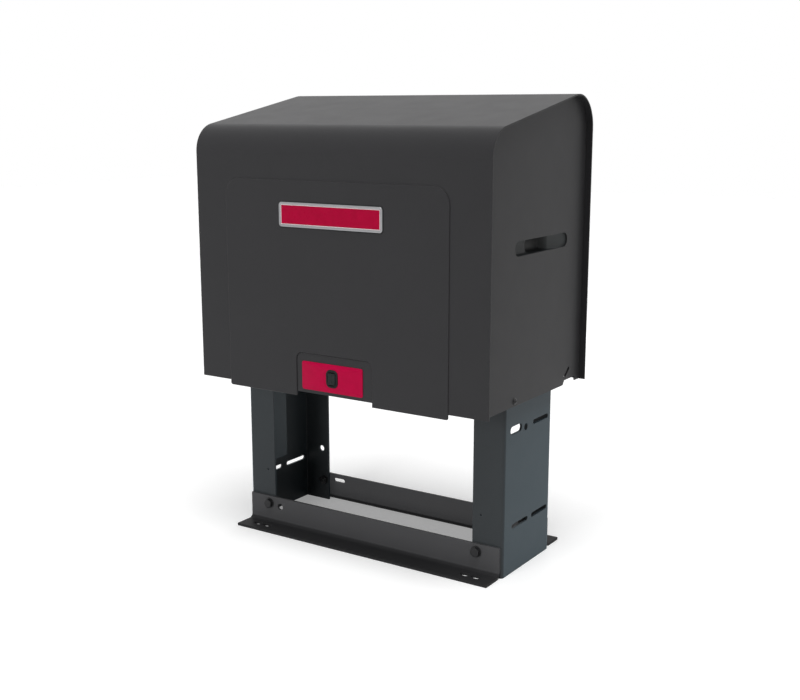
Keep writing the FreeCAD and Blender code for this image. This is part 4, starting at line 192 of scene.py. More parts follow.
class Finish(Nodes):
    """A procedural material under construction.

    Its patterns read Object coordinates. A noise is given as its scale and its detail.
    """

    def __init__(self, name, base, roughness, metallic=0.0, specular=0.5):
        self.material = bpy.data.materials.new(name)
        self.material.use_nodes = True
        super().__init__(self.material.node_tree)
        self.shader = self.tree.nodes["Principled BSDF"]
        self.base = tuple(base)
        self.roughness = roughness
        self.normal = None
        self.place = self.add("TexCoord").outputs["Object"]
        self.set("Base Color", (*base, 1))
        self.set("Roughness", roughness)
        self.set("Metallic", metallic)
        self.set("Specular IOR Level", specular)

    def set(self, socket, value):
        self.feed(self.shader.inputs[socket], value)

    def stretched(self, scale, centre=(0, 0, 0)):
        """Object coordinates about a centre, scaled by axis."""
        return self.vector("MULTIPLY", self.vector("SUBTRACT", self.place, centre), scale)

    def noise(self, scale, detail, vector=None):
        entries = {"Vector": vector or self.place, "Scale": scale, "Detail": detail,
                   "Roughness": NOISE_ROUGHNESS}
        return self.add("TexNoise", entries).outputs["Fac"]

    def patches(self, pattern, low=CLOUDY[0], high=CLOUDY[1]):
        """A mask of soft patches: a range of a noise, spread over 0 to 1."""
        return self.level(self.noise(*pattern), low, high)

    def shade(self, factor):
        return tuple(min(1.0, part * factor) for part in self.base)

    def shades(self, mask, start, end):
        """The base colour times a factor that runs from start to end with a mask."""
        return self.mix(mask, self.shade(start), self.shade(end))

    def vary_gloss(self, noise, smoother, rougher):
        """Roughness that a noise takes below and above its plain value."""
        self.set("Roughness", self.level(
            noise, *CLOUDY, self.roughness - smoother, self.roughness + rougher))

    def softened(self, radius):
        """The normal that the edges would have if they were rounded."""
        return self.add("Bevel", {"Radius": radius}, samples=BEVEL_SAMPLES).outputs["Normal"]

    def rounded(self, radius):
        self.normal = self.softened(radius)
        return self

    def bump(self, height, distance, strength=1.0):
        entries = {"Height": height, "Distance": distance, "Strength": strength}
        if self.normal:
            entries["Normal"] = self.normal
        self.normal = self.add("Bump", entries).outputs["Normal"]
        return self

    def edges(self, radius):
        """A mask that is 1 on sharp edges, where the softened normal leaves the true one."""
        true = self.add("NewGeometry").outputs["Normal"]
        turn = self.vector("DOT_PRODUCT", self.softened(radius), true, output="Value")
        return self.level(turn, TRUE_EDGE, WORN_EDGE)

    def done(self, tone=None):
        """The material, with a pattern as its base colour if one is given."""
        if tone:
            self.set("Base Color", tone)
        if self.normal:
            self.set("Normal", self.normal)
        return self.material


COAT_CLOUDS = (9, 4)
COAT_SPECKS = (1400, 2)
COAT_CHIPS = (160, 5)
COAT_GLOSS = (24, 5)
COAT_PEEL = (520, 2)
COAT_GRAIN = (2300, 2)
GRAIN_SHARE = 0.35
CHIP_WIDTH = 0.9 * MM
# Painted shade on the feet of the base angles: the noise and depth of its ragged top, its fade and its height
SHADE_EDGE_PATCHES = (300, 4)
SHADE_EDGE_RAGGED = 2 * MM
FOOT_SHADE_FADE = 3 * MM
FOOT_SHADE_TOP = 11 * MM


def powder_coat(name, base, roughness=0.42, specular=0.13, peel=0.03 * MM, chip=1.6, dust=0.03,
                tint=(1, 1, 1), shaded_below=None):
    """Satin powder coat: faint clouds, specks, orange peel, dust, bared edges and painted shade on a foot."""
    finish = Finish(name, base, roughness, specular=specular).rounded(sizes().edge_round)
    finish.set("Sheen Weight", dust)
    finish.set("Sheen Tint", (*tint, 1))
    tone = finish.shades(finish.patches(COAT_CLOUDS), 0.97, 1.03)
    tone = finish.mix(finish.patches(COAT_SPECKS, 0.62, 0.75), tone, finish.shade(1.25))
    chips = finish.patches(COAT_CHIPS, 0.35, 0.65)
    bared = finish.math("MULTIPLY", finish.edges(CHIP_WIDTH), chips)
    tone = finish.mix(bared, tone, finish.shade(chip))
    # Painted shade: below a ragged height the coat turns to a darker colour, standing in for the hood's shade on
    # the feet
    if shaded_below:
        ragged = finish.math("MULTIPLY", finish.noise(*SHADE_EDGE_PATCHES), SHADE_EDGE_RAGGED)
        height = finish.math("SUBTRACT", finish.split(finish.place)[2], ragged)
        unshaded = finish.level(height, shaded_below - FOOT_SHADE_FADE, shaded_below)
        tone = finish.mix(unshaded, colours().painted_foot_shade, tone)
    finish.vary_gloss(finish.noise(*COAT_GLOSS), 0.015, 0.02)
    finish.bump(finish.noise(*COAT_PEEL), peel).bump(finish.noise(*COAT_GRAIN), peel * GRAIN_SHARE)
    return finish.done(tone)


FINE_EDGE = 0.4 * MM
PLASTIC_EDGE = 0.5 * MM
SPARK_GRAIN = (2600, 2)
SPARK_DEPTH = 0.03 * MM
# Painted shade in the depth of the finger cups: its ragged edge, where it starts and ends across X, and how dark
CUP_PATCHES = (200, 4)
CUP_DARK = 272 * MM
CUP_PALE = 283 * MM
CUP_SHADE = 0.12


def cup_plastic_with_painted_shade(name, base):
    """Moulded plastic with painted shade towards the depth of a cup, by how near X = 0 is."""
    finish = Finish(name, base, 0.5, specular=0.25).rounded(PLASTIC_EDGE)
    # Painted shade: the plastic darkens towards X = 0, standing in for the shade deep in the cup
    across = finish.math("ABSOLUTE", finish.split(finish.place)[0])
    ragged = finish.math("MULTIPLY", finish.noise(*CUP_PATCHES), SHADE_EDGE_RAGGED)
    unshaded = finish.level(finish.math("ADD", across, ragged), CUP_DARK, CUP_PALE)
    finish.bump(finish.noise(*SPARK_GRAIN), SPARK_DEPTH)
    return finish.done(finish.shades(unshaded, CUP_SHADE, 1.0))


PLATE_BLOOM = (110, 4)
PLATE_GLOSS = (320, 4)
PLATE_GRAIN = (1800, 3)


def plated(name, base, roughness=0.34):
    """Bright zinc plate with faint bloom and fine grain."""
    finish = Finish(name, base, roughness, metallic=1.0).rounded(FINE_EDGE)
    finish.vary_gloss(finish.noise(*PLATE_GLOSS), 0.08, 0.12)
    finish.bump(finish.noise(*PLATE_GRAIN), 0.01 * MM)
    return finish.done(finish.shades(finish.patches(PLATE_BLOOM, 0.35), 1.12, 0.8))


RINGS_PER_METRE = 2600
OIL_FILM = (60, 4)


def turned(name, base, axis, centre, roughness=0.28):
    """Turned metal: fine rings round an axis, on its faces and its length, and a thin oil film."""
    finish = Finish(name, base, roughness, metallic=1.0).rounded(FINE_EDGE)
    parts = finish.split(finish.stretched((1, 1, 1), centre))
    along = parts.pop("XYZ".index(axis))
    rings = finish.joined(*(finish.math("MULTIPLY", part, RINGS_PER_METRE)
                            for part in (along, finish.distance(finish.joined(*parts)))))
    marks = finish.noise(1.0, 3, rings)
    finish.vary_gloss(marks, 0.08, 0.14)
    finish.bump(marks, 0.012 * MM)
    return finish.done(finish.shades(finish.patches(OIL_FILM, 0.4), 1.1, 0.72))


CAST_EDGE = 1.4 * MM
CAST_SKIN = (420, 4)
CAST_CLOUDS = (30, 4)
CAST_PEBBLES = 160


def cast(name, base):
    """Painted sand casting: pebbled skin, softened edges and dust in the low spots."""
    finish = Finish(name, base, 0.5, specular=0.4).rounded(CAST_EDGE)
    skin = finish.noise(*CAST_SKIN)
    tone = finish.shades(finish.patches(CAST_CLOUDS), 0.88, 1.12)
    pebbles = finish.add("TexVoronoi", {"Vector": finish.place, "Scale": CAST_PEBBLES})
    finish.bump(skin, 0.22 * MM).bump(pebbles.outputs["Distance"], 0.18 * MM, 0.5)
    return finish.done(finish.mix(finish.level(skin, 0.25, 0.5), finish.shade(0.6), tone))


MOULD_CLOUDS = (40, 3)
MOULD_GLOSS = (500, 3)


def moulded(name, base, roughness=0.55, specular=0.28):
    """Moulded plastic with a fine spark-eroded grain."""
    finish = Finish(name, base, roughness, specular=specular).rounded(PLASTIC_EDGE)
    finish.vary_gloss(finish.noise(*MOULD_GLOSS), 0.06, 0.08)
    finish.bump(finish.noise(*SPARK_GRAIN), SPARK_DEPTH)
    return finish.done(finish.shades(finish.patches(MOULD_CLOUDS), 0.88, 1.15))


PULLEY_EDGE = 0.6 * MM


def pulley_iron(name, centre, rim):
    """Cast pulley: painted web, bare turned rim beyond a radius."""
    finish = Finish(name, colours().iron, 0.42, specular=0.45).rounded(PULLEY_EDGE)
    radius = finish.distance(finish.stretched((0, 1, 1), centre))
    bare = finish.level(radius, rim, rim + PULLEY_EDGE)
    rings = finish.joined(radius, finish.split(finish.place)[0])
    marks = finish.noise(RINGS_PER_METRE, 3, rings)
    finish.set("Metallic", bare)
    finish.vary_gloss(marks, 0.14, 0.03)
    finish.bump(marks, 0.02 * MM)
    return finish.done(finish.mix(bare, finish.base, colours().steel))


PRINT_CLOUDS = (70, 4)
PRINT_GLOSS = (180, 4)
PRINT_GRAIN = (300, 2)
BORDER_WIDTH = 1.1 * MM
BORDER_SOFT = 0.2 * MM


def printed(name, base, roughness=0.4, bordered=None):
    """Screen print with a faint mottle, and a pale line inside a bordered sub-part's edges."""
    finish = Finish(name, base, roughness, specular=0.06).rounded(FINE_EDGE)
    tone = finish.shades(finish.patches(PRINT_CLOUDS), 0.93, 1.06)
    if bordered:
        low, high = corners(bordered)
        reach = finish.vector("ABSOLUTE", finish.stretched((1, 0, 1), (low + high) / 2))
        past = finish.split(finish.vector("SUBTRACT", reach, (high - low) / 2))
        edge = finish.math("MAXIMUM", past[0], past[2])
        line = finish.level(edge, -BORDER_WIDTH, BORDER_SOFT - BORDER_WIDTH)
        tone = finish.mix(line, tone, colours().border)
    finish.vary_gloss(finish.noise(*PRINT_GLOSS), 0.05, 0.1)
    finish.bump(finish.noise(*PRINT_GRAIN), 0.02 * MM)
    return finish.done(tone)


BRUSHED_ALONG_X = (60, 4000, 4000)


def brushed(name, base, stretch, roughness=0.3):
    """Brushed aluminium, its lines drawn out along the axis with the smallest stretch."""
    finish = Finish(name, base, roughness, metallic=1.0).rounded(FINE_EDGE)
    lines = finish.noise(1.0, 3, finish.stretched(stretch))
    finish.vary_gloss(lines, 0.06, 0.12)
    finish.bump(lines, 0.01 * MM)
    return finish.done(finish.shades(lines, 0.82, 1.15))


def laminated(name, base, pitch):
    """Sheet iron stacked along X: a fine line between every two sheets."""
    finish = Finish(name, base, 0.45, specular=0.4)
    sheets = finish.math("DIVIDE", finish.split(finish.place)[0], pitch)
    lines = finish.math("PINGPONG", sheets, 0.5)
    finish.bump(lines, 0.1 * MM)
    return finish.done(finish.shades(finish.level(lines, 0.02, 0.12), 0.4, 1.1))


COPPER_RUNS = (220, 0, 220)
COPPER_WIDTH = 0.08


def circuit_board(name, base):
    """Green solder mask with paler copper runs and a little gloss."""
    finish = Finish(name, base, 0.3)
    entries = {"Vector": finish.stretched(COPPER_RUNS), "Scale": 1.0, "Mortar Size": COPPER_WIDTH}
    runs = finish.add("TexBrick", entries).outputs["Fac"]
    finish.bump(runs, 0.03 * MM)
    return finish.done(finish.shades(runs, 1.0, 1.6))


# Places and finishes of the frame's sub-parts

def corners(node):
    """The low and high corners of a sub-part's box, as arrays."""
    low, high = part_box(node)
    return np.array(low), np.array(high)


def joint_place(name):
    return tuple(next(joint["pos_m"] for joint in frame["joints"] if joint["name"] == name))


BLACK_ZINC = {"roughness": 0.36, "specular": 0.3, "peel": 0.01 * MM, "chip": 1.8}
ENAMEL = {"roughness": 0.28, "specular": 0.5, "peel": 0.04 * MM, "chip": 1.4}
BOX_COAT = {"roughness": 0.5, "specular": 0.4, "peel": 0.06 * MM, "chip": 0.8}
# The base angles' dull coat, with painted shade on the feet below a height
ANGLE_COAT = {"roughness": 0.5, "specular": 0.06, "dust": 0.0, "shaded_below": FOOT_SHADE_TOP}
STATOR_SHEET = 0.5 * MM
CORE_SHEET = 0.6 * MM


def slot_finishes():
    """The material of each slot of the record, by the slot's name."""
    tones = colours()
    return {
        "painted_steel_dark": powder_coat(
            "stand_powder_coat", tones.stand, dust=0.2, tint=tones.sheen),
        "hood_paint": powder_coat("hood_powder_coat", tones.hood),
        "zinc_fasteners": plated("zinc_plate", tones.zinc),
        "black_fasteners": powder_coat("black_zinc", tones.black, **BLACK_ZINC),
        "machined_steel": plated("ground_steel", tones.steel, 0.3),
        "gearbox_cast": cast("painted_casting", tones.casting),
        "bronze": turned("turned_bronze", tones.bronze, "Y", joint_place("output_spin")),
        "nylon_gear": moulded("moulded_nylon", tones.nylon, 0.45),
        "cast_pulley": plated("pulley_steel", tones.steel),
        "belt_rubber": moulded("belt_rubber", tones.rubber, 0.7),
        "motor_paint": powder_coat("motor_enamel", tones.enamel, **ENAMEL),
        "lamination_steel": laminated("stator_laminations", tones.steel, STATOR_SHEET),
        "black_plastic": moulded("black_plastic", tones.plastic),
        "box_paint": powder_coat("box_powder_coat", tones.box, **BOX_COAT),
        "board_green": circuit_board("solder_mask", tones.board),
        "transformer_iron": laminated("transformer_laminations", tones.core, CORE_SHEET),
        "battery_plastic": moulded("battery_case", tones.battery, 0.5),
        "nameplate_silver": brushed("brushed_rim", tones.silver, BRUSHED_ALONG_X),
        "sign_red": printed("printed_red", tones.red),
    }


SHAFT_GLOSS = 0.28
BEARING_GLOSS = 0.2
TOOTH_GLOSS = 0.32
TURNED_STEEL = {
    "rotor_shaft": ("X", "motor_spin", SHAFT_GLOSS),
    "motor_bearings": ("X", "motor_spin", BEARING_GLOSS),
    "worm_shaft": ("X", "worm_spin", SHAFT_GLOSS),
    "output_shaft": ("Y", "output_spin", SHAFT_GLOSS),
    "gearbox_bearings": ("Y", "output_spin", BEARING_GLOSS),
    "drive_sprocket": ("Y", "output_spin", TOOTH_GLOSS),
    "encoder_drive_gear": ("Y", "output_spin", TOOTH_GLOSS),
    "left_idler_sprocket": ("Y", "left_idler_spin", TOOTH_GLOSS),
    "right_idler_sprocket": ("Y", "right_idler_spin", TOOTH_GLOSS),
}
MOTOR_PULLEY_WEB = 16.5 * MM
DRIVEN_PULLEY_WEB = 63.5 * MM


def node_finishes():
    """Materials that belong to one sub-part, most because they turn about its own axis."""
    tones = colours()
    finishes = {node: turned(f"{node}_steel", tones.steel, axis, joint_place(joint), gloss)
                for node, (axis, joint, gloss) in TURNED_STEEL.items()}
    finishes.update({
        "motor_pulley": pulley_iron(
            "motor_pulley_iron", joint_place("motor_spin"), MOTOR_PULLEY_WEB),
        "driven_pulley": pulley_iron(
            "driven_pulley_iron", joint_place("worm_spin"), DRIVEN_PULLEY_WEB),
        "switch_bracket": powder_coat("bracket_powder_coat", tones.hood),
        # The base angles' paler coats are painted light
        "front_base_angle": powder_coat("front_angle_powder_coat", tones.angle, **ANGLE_COAT),
        "rear_base_angle": powder_coat("rear_angle_powder_coat", tones.rear_angle, **ANGLE_COAT),
        # The finger cups' plastic carries painted shade in their depth
        "left_grip": cup_plastic_with_painted_shade("left_cup_plastic", tones.cup),
        "right_grip": cup_plastic_with_painted_shade("right_cup_plastic", tones.cup),
        "switch_bezel": moulded("bezel_plastic", tones.plastic, 0.5, 0.12),
        "rocker_button": moulded("rocker_plastic", tones.plastic, 0.42, 0.16),
        "hood_screws": powder_coat("screw_black_zinc", tones.black, **BLACK_ZINC),
        "nameplate_field": printed("nameplate_print", tones.field, 0.3, "nameplate_field"),
    })
    return finishes


# Surfaces

def grid_faces(rows, columns, closed_rows=False, closed_columns=False):
    """Quads of a grid of points; a closed direction joins its last line to its first."""
    row, column = np.meshgrid(np.arange(rows if closed_rows else rows - 1),
                              np.arange(columns if closed_columns else columns - 1), indexing="ij")
    next_row = (row + 1) % rows
    next_column = (column + 1) % columns
    corner = [row * columns + column, row * columns + next_column,
              next_row * columns + next_column, next_row * columns + column]
    return np.stack(corner, axis=-1).reshape(-1, 4).tolist()


def closed_ring(points):
    """A grid that joins up in both directions, with its faces."""
    return points, grid_faces(*points.shape[:2], closed_rows=True, closed_columns=True)


def capped(points):
    """A grid that joins up along its lines, with a face over the first line and over the last."""
    rows, columns = points.shape[:2]
    caps = [list(range(columns)), list(range((rows - 1) * columns, rows * columns))]
    return points, grid_faces(rows, columns, closed_columns=True) + caps


ROUND_STEPS = 48
ROUND = np.linspace(0, 2 * math.pi, ROUND_STEPS, endpoint=False)


def lathe(axis, centre, radii, levels, angle=ROUND):
    """Rings along an axis: across = radius times the cosine and sine of the angle, along = level.

    A ring's radius or level is one number, or one for each angle.
    """
    radius = np.stack([np.broadcast_to(ring, angle.shape) for ring in radii])
    level = np.stack([np.broadcast_to(ring, angle.shape) for ring in levels])
    parts = [radius * np.cos(angle), radius * np.sin(angle)]
    parts.insert("XYZ".index(axis), level)
    points = np.stack(parts, axis=-1) + np.array(centre)
    return points, grid_faces(len(radii), len(angle), closed_columns=True)


def hexagon_reach(flats):
    """Middle to edge of a hexagon: half its flats over the cosine of the angle from a flat."""
    sixth = math.pi / 3
    return flats / 2 / np.cos((ROUND + sixth / 2) % sixth - sixth / 2)


HEXAGON_CROWN = 0.94
HEXAGON_CUT = math.tan(math.radians(30))


def hexagon(axis, centre, flats, thick, way):
    """A hexagon head or nut that rises one way, its corners cut off by a cone of 30 degrees."""
    reach = hexagon_reach(flats)
    crown = HEXAGON_CROWN * flats / 2
    shoulder = way * (thick - (reach - crown) * HEXAGON_CUT)
    return lathe(axis, centre, [0, crown, reach, reach, 0], [way * thick] * 2 + [shoulder, 0, 0])


def disc(axis, centre, radius, thick, way, edge=0.15):
    """A flat disc with a small chamfer, a share of its thickness."""
    chamfer = thick * edge
    return lathe(axis, centre, [0, radius - chamfer, radius, radius, 0],
                 [way * thick, way * thick, way * (thick - chamfer), 0, 0])


def shifted(point, axis, distance):
    moved = np.array(point, float)
    moved["XYZ".index(axis)] += distance
    return moved


# A bolt's measures, as shares of its thread's diameter
BOLT_WASHER = 0.16
BOLT_HEAD = 0.62
BOLT_NUT = 0.8
BOLT_FLATS = 1.6
BOLT_END = 0.25
THREAD_TIP = 0.42
THREAD_CHAMFER = 0.08


def bolt(axis, seat, way, size, grip):
    """Head and washer that rise one way from a seat, and the shank and nut behind the grip."""
    washer = BOLT_WASHER * size
    back = shifted(seat, axis, -way * grip)
    tip = grip + (BOLT_NUT + BOLT_END) * size
    levels = -way * np.array([tip, tip, tip - THREAD_CHAMFER * size, 0, 0])
    return [
        disc(axis, seat, size, washer, way),
        hexagon(axis, shifted(seat, axis, way * washer), BOLT_FLATS * size, BOLT_HEAD * size, way),
        hexagon(axis, back, BOLT_FLATS * size, BOLT_NUT * size, -way),
        lathe(axis, seat, size * np.array([0, THREAD_TIP, 0.5, 0.5, 0]), levels),
    ]


CORNERS = ((1, 1), (-1, 1), (-1, -1), (1, -1))


def corner_turns(steps):
    """Angles round a rectangle, a quarter turn at each corner, and each angle's corner."""
    quarter = np.linspace(0, math.pi / 2, steps + 1)
    angle = (quarter + np.arange(4)[:, None] * math.pi / 2).ravel()
    return angle, np.repeat(CORNERS, steps + 1, axis=0)


LOOP_STEPS = 8


def framed(low, high, radius, profile, front):
    """A profile of (inset, rise) carried round a rounded rectangle in X and Z, facing the front.

    The loop is a corner's centre plus the radius times the cosine and sine of the angle, which
    stands still along the sides. Across = the loop less the inset times the cosine and sine, and
    y = the front face less the rise.
    """
    angle, corner = corner_turns(LOOP_STEPS)
    normal = np.stack([np.cos(angle), np.sin(angle)], axis=-1)
    half = (high - low)[::2] / 2
    loop = low[::2] + half + corner * (half - radius) + radius * normal
    inset, rise = profile.T
    across = loop[None] - normal[None] * inset[:, None, None]
    level = np.broadcast_to((front - rise)[:, None], across.shape[:2])
    points = np.stack([across[..., 0], level, across[..., 1]], axis=-1)
    return points, grid_faces(len(profile), len(loop), closed_columns=True)


BOX_STEPS = 4


def rounded_box(low, high, radius):
    """A box with rounded edges: a corner's centre plus the radius times a sphere's normal.

    The sphere's angles are repeated where the corner changes, which leaves the sides flat.
    """
    low, high = np.array(low), np.array(high)
    turn, sides = corner_turns(BOX_STEPS)
    quarter = turn[:BOX_STEPS + 1]
    rise = np.concatenate([quarter - math.pi / 2, quarter])[:, None]
    up = np.repeat([-1, 1], BOX_STEPS + 1)[:, None]
    normal = np.stack(np.broadcast_arrays(
        np.cos(rise) * np.cos(turn), np.cos(rise) * np.sin(turn), np.sin(rise)), axis=-1)
    corner = np.stack(np.broadcast_arrays(sides[:, 0], sides[:, 1], up), axis=-1)
    points = (low + high) / 2 + corner * ((high - low) / 2 - radius) + radius * normal
    rows, columns = points.shape[:2]
    caps = [list(range(line * columns, (line + 1) * columns, BOX_STEPS + 1))
            for line in (0, rows - 1)]
    return points, grid_faces(rows, columns, closed_columns=True) + caps


def smooth_step(value):
    """0 below 0, 1 above 1, and 3v² - 2v³ between."""
    share = np.clip(value, 0, 1)
    return share * share * (3 - 2 * share)


TUBE_STEPS = 16


def tube(path, radius):
    """A round rod along a path in the YZ plane: path + radius times (cos·side + sin·X)."""
    run = np.gradient(path, axis=0)
    run /= np.linalg.norm(run, axis=1, keepdims=True)
    side = np.stack([np.zeros(len(path)), -run[:, 2], run[:, 1]], axis=-1)
    angle = np.linspace(0, 2 * math.pi, TUBE_STEPS, endpoint=False)[None, :, None]
    around = np.cos(angle) * side[:, None] + np.sin(angle) * np.array([1, 0, 0])
    return capped(path[:, None] + radius * around)


DOUBLES = 0.001 * MM
SLIVERS = 0.0001 * MM


def new_piece(name, parts, node, body, smooth=40.0, replaces=True):
    """One object from (points, faces) pairs, with the finish of a sub-part that it may replace.

    Doubles are merged, faces turned outwards, and edges up to a number of degrees shaded smooth.
    """
    points = []
    faces = []
    count = 0
    for part_points, part_faces in parts:
        part_points = np.asarray(part_points, float).reshape(-1, 3)
        points.append(part_points)
        faces.extend([[corner + count for corner in face] for face in part_faces])
        count += len(part_points)
    mesh = bpy.data.meshes.new(name)
    mesh.from_pydata(np.concatenate(points).tolist(), [], faces)
    work = bmesh.new()
    work.from_mesh(mesh)
    bmesh.ops.remove_doubles(work, verts=work.verts, dist=DOUBLES)
    bmesh.ops.dissolve_degenerate(work, edges=work.edges, dist=SLIVERS)
    bmesh.ops.recalc_face_normals(work, faces=work.faces)
    work.to_mesh(mesh)
    work.free()
    piece = bpy.data.objects.new(name, mesh)
    bpy.context.scene.collection.objects.link(piece)
    mesh.shade_smooth()
    mesh.set_sharp_from_angle(angle=math.radians(smooth))
    mesh.materials.append(frame["nodes"][node].data.materials[0])
    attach(piece, body)
    if replaces:
        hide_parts(node)
    return piece


# Shapes of the added pieces

BASE_BOLT = 10 * MM
DECK_BOLT = 8 * MM
BASE_BOLT_INSET = 49 * MM
BASE_BOLT_HEIGHT = 42 * MM
DECK_BOLT_LINE = 50 * MM
DECK_BOLT_DROP = 15 * MM
STAND_SHEET = 4 * MM
ANGLE_SHEET = 5 * MM
DECK_GAP = 0.2 * MM


def stand_bolt_parts():
    """Eight bolts: through base angles and leg flanges, and through the legs into the deck."""
    half_width, half_depth, top = corners("right_leg")[1]
    parts = []
    for end in (-1, 1):
        for side in (-1, 1):
            seat = (end * (half_width - BASE_BOLT_INSET), side * (half_depth + ANGLE_SHEET),
                    BASE_BOLT_HEIGHT)
            parts += bolt("Y", seat, side, BASE_BOLT, ANGLE_SHEET + STAND_SHEET)
            seat = (end * half_width, side * DECK_BOLT_LINE, top - DECK_BOLT_DROP)
            parts += bolt("X", seat, end, DECK_BOLT, 2 * STAND_SHEET + DECK_GAP)
    return parts


HOOD_SCREW_LINE = -78 * MM
HOOD_SCREW_RISE = 9 * MM
HOOD_SCREW_PROUD = 2.6 * MM
HOOD_WASHER = 0.78 * MM
SOCKET_FLOOR = 1.17 * MM
SOCKET_SHARE = 0.45
CROWN_SHARE = 0.5625
DOME_STEPS = 6


def hood_screw_parts():
    """Two button heads on washers, each with a hexagon socket sunk in its dome.

    The dome's radius grows from its crown with the sine of an angle, and it sinks with the cosine.
    """
    low, high = corners("hood_right_panel")
    head = sizes().screw_head
    socket = hexagon_reach(2 * head * SOCKET_SHARE)
    dome = np.linspace(0, math.pi / 2, DOME_STEPS)
    radii = [0, socket, socket, *(head * (CROWN_SHARE + (1 - CROWN_SHARE) * np.sin(dome))), 0]
    rise = HOOD_WASHER + (HOOD_SCREW_PROUD - HOOD_WASHER) * np.cos(dome)
    levels = np.array([SOCKET_FLOOR, SOCKET_FLOOR, HOOD_SCREW_PROUD, *rise, HOOD_WASHER])
    parts = []
    for side in (-1, 1):
        seat = (side * high[0], HOOD_SCREW_LINE, low[2] + HOOD_SCREW_RISE)
        parts.append(disc("X", seat, sizes().screw_washer, HOOD_WASHER, side))
        parts.append(lathe("X", seat, radii, side * levels))
    return parts


RIM_PROFILE = MM * np.array((
    (0, 0), (0, 0.9), (0.25, 1.45), (0.8, 1.85), (1.5, 2.0), (2.6, 2.0), (3.5, 1.8), (4.3, 1.2),
    (4.5, 1.0), (4.5, 0)))
# Profile of (inset, rise) of the dark ring round the rim, a painted shadow
SHADOW_RING_PROFILE = MM * np.array(((-1.3, 0), (-1.2, 0.5), (-0.8, 0.7), (0.6, 0.7), (0.6, 0)))


def nameplate_rim():
    """The silver rim: a softly rounded moulding carried round the plate."""
    low, high = corners("nameplate_frame")
    return [framed(low, high, sizes().rim_corner, RIM_PROFILE, high[1])]


def nameplate_shadow_ring():
    """A thin dark ring round the rim: painted shadow, standing in for the rim's shadow on the hood."""
    low, high = corners("nameplate_frame")
    return [closed_ring(framed(low, high, sizes().rim_corner, SHADOW_RING_PROFILE, high[1])[0])]


BEZEL_PROFILE = MM * np.array((
    (4.5, -20.5), (4.5, 0.9), (4.1, 1.5), (3.2, 1.9), (2.0, 2.0), (0.9, 1.75), (0.25, 1.2),
    (0, 0.5), (0, 0), (3.0, 0), (3.0, -22)))
BEZEL_PROUD = 2 * MM


def bezel_parts():
    """The switch's bezel and its body behind the plate, as one moulding with a floor."""
    low, high = corners("switch_bezel")
    front = low[1] + BEZEL_PROUD
    return [capped(framed(low, high, sizes().bezel_corner, BEZEL_PROFILE, front)[0])]


PLATE_EDGE = MM * np.array(((0, 0), (0, 1.1), (0.12, 1.35), (0.4, 1.5)))
HOLE_EDGE = MM * np.array(((0, 1.5), (0, 0)))
PLATE_CORNER = 4 * MM
HOLE_CORNER = 2 * MM
HOLE_INSET = 3 * MM


def plate_parts():
    """The red plate: rounded corners, a softened front edge and a hole behind the bezel."""
    low, high = corners("switch_plate")
    hole_low, hole_high = corners("switch_bezel")
    outer = framed(low, high, PLATE_CORNER, PLATE_EDGE, high[1])[0]
    inner = framed(
        hole_low + HOLE_INSET, hole_high - HOLE_INSET, HOLE_CORNER, HOLE_EDGE, high[1])[0]
    return [closed_ring(np.concatenate([outer, inner]))]


ROCKER_STEPS = 24
ROCKER_ROUND = 2.2 * MM
ROCKER_SINK = 0.5
ROCKER_DISH = 1.1 * MM
ROCKER_INSET = 4.8 * MM
ROCKER_BACK = 4 * MM
MARK_HEIGHT = 0.58
MARK_LEVEL = 0.62
MARK_STROKE = 0.22
MARK_PROUD = 0.35 * MM
MARK_SUNK = 0.6 * MM
MARK_ROUND = 0.2 * MM
PIVOT_RADIUS = 1.15 * MM
PIVOT_REACH = 1.6 * MM
PIVOT_EDGE = 0.02


def rocker_parts():
    """The rocker: a block with a dished face and a rounded lip, its marks and its pivot.

    The face lies at y = front + dish times (1 - the square of the height's share), and sinks at
    the edges by a share of a quarter circle.
    """
    low, high = corners("rocker_button")
    bezel_low, bezel_high = corners("switch_bezel")
    middle = np.array([(bezel_low[0] + bezel_high[0]) / 2, *(low + high)[1:] / 2])
    half_x = (bezel_high[0] - bezel_low[0]) / 2 - ROCKER_INSET
    half_z = (high[2] - low[2]) / 2
    share = np.sin(np.linspace(-math.pi / 2, math.pi / 2, ROCKER_STEPS))
    across, up = np.meshgrid(share, share, indexing="ij")
    edge = np.maximum((np.abs(across) - 1) * half_x, (np.abs(up) - 1) * half_z) + ROCKER_ROUND
    sink = ROCKER_ROUND - np.sqrt(ROCKER_ROUND ** 2 - np.clip(edge, 0, ROCKER_ROUND) ** 2)
    face = low[1] + ROCKER_DISH * (1 - up ** 2) + ROCKER_SINK * sink
    front = np.stack([middle[0] + across * half_x, face, middle[2] + up * half_z], axis=-1)
    front = front.reshape(-1, 3)
    index = np.arange(len(front)).reshape(across.shape)
    border = np.concatenate([index[0, :-1], index[:-1, -1], index[-1, :0:-1], index[:0:-1, 0]])
    back = front[border]
    back[:, 1] = high[1] - ROCKER_BACK
    rim = len(front) + np.arange(len(border))
    skirt = np.stack([border, np.roll(border, -1), np.roll(rim, -1), rim], axis=-1)
    body = (np.concatenate([front, back]),
            grid_faces(*across.shape) + skirt.tolist() + [rim.tolist()])
    level = low[1] + ROCKER_DISH * MARK_LEVEL
    reach = half_x + PIVOT_REACH
    pivot = disc("X", middle - (reach, 0, 0), PIVOT_RADIUS, 2 * reach, 1, PIVOT_EDGE)
    return [body, *mark_parts(middle[0], level, middle[2], half_z * MARK_HEIGHT), pivot]


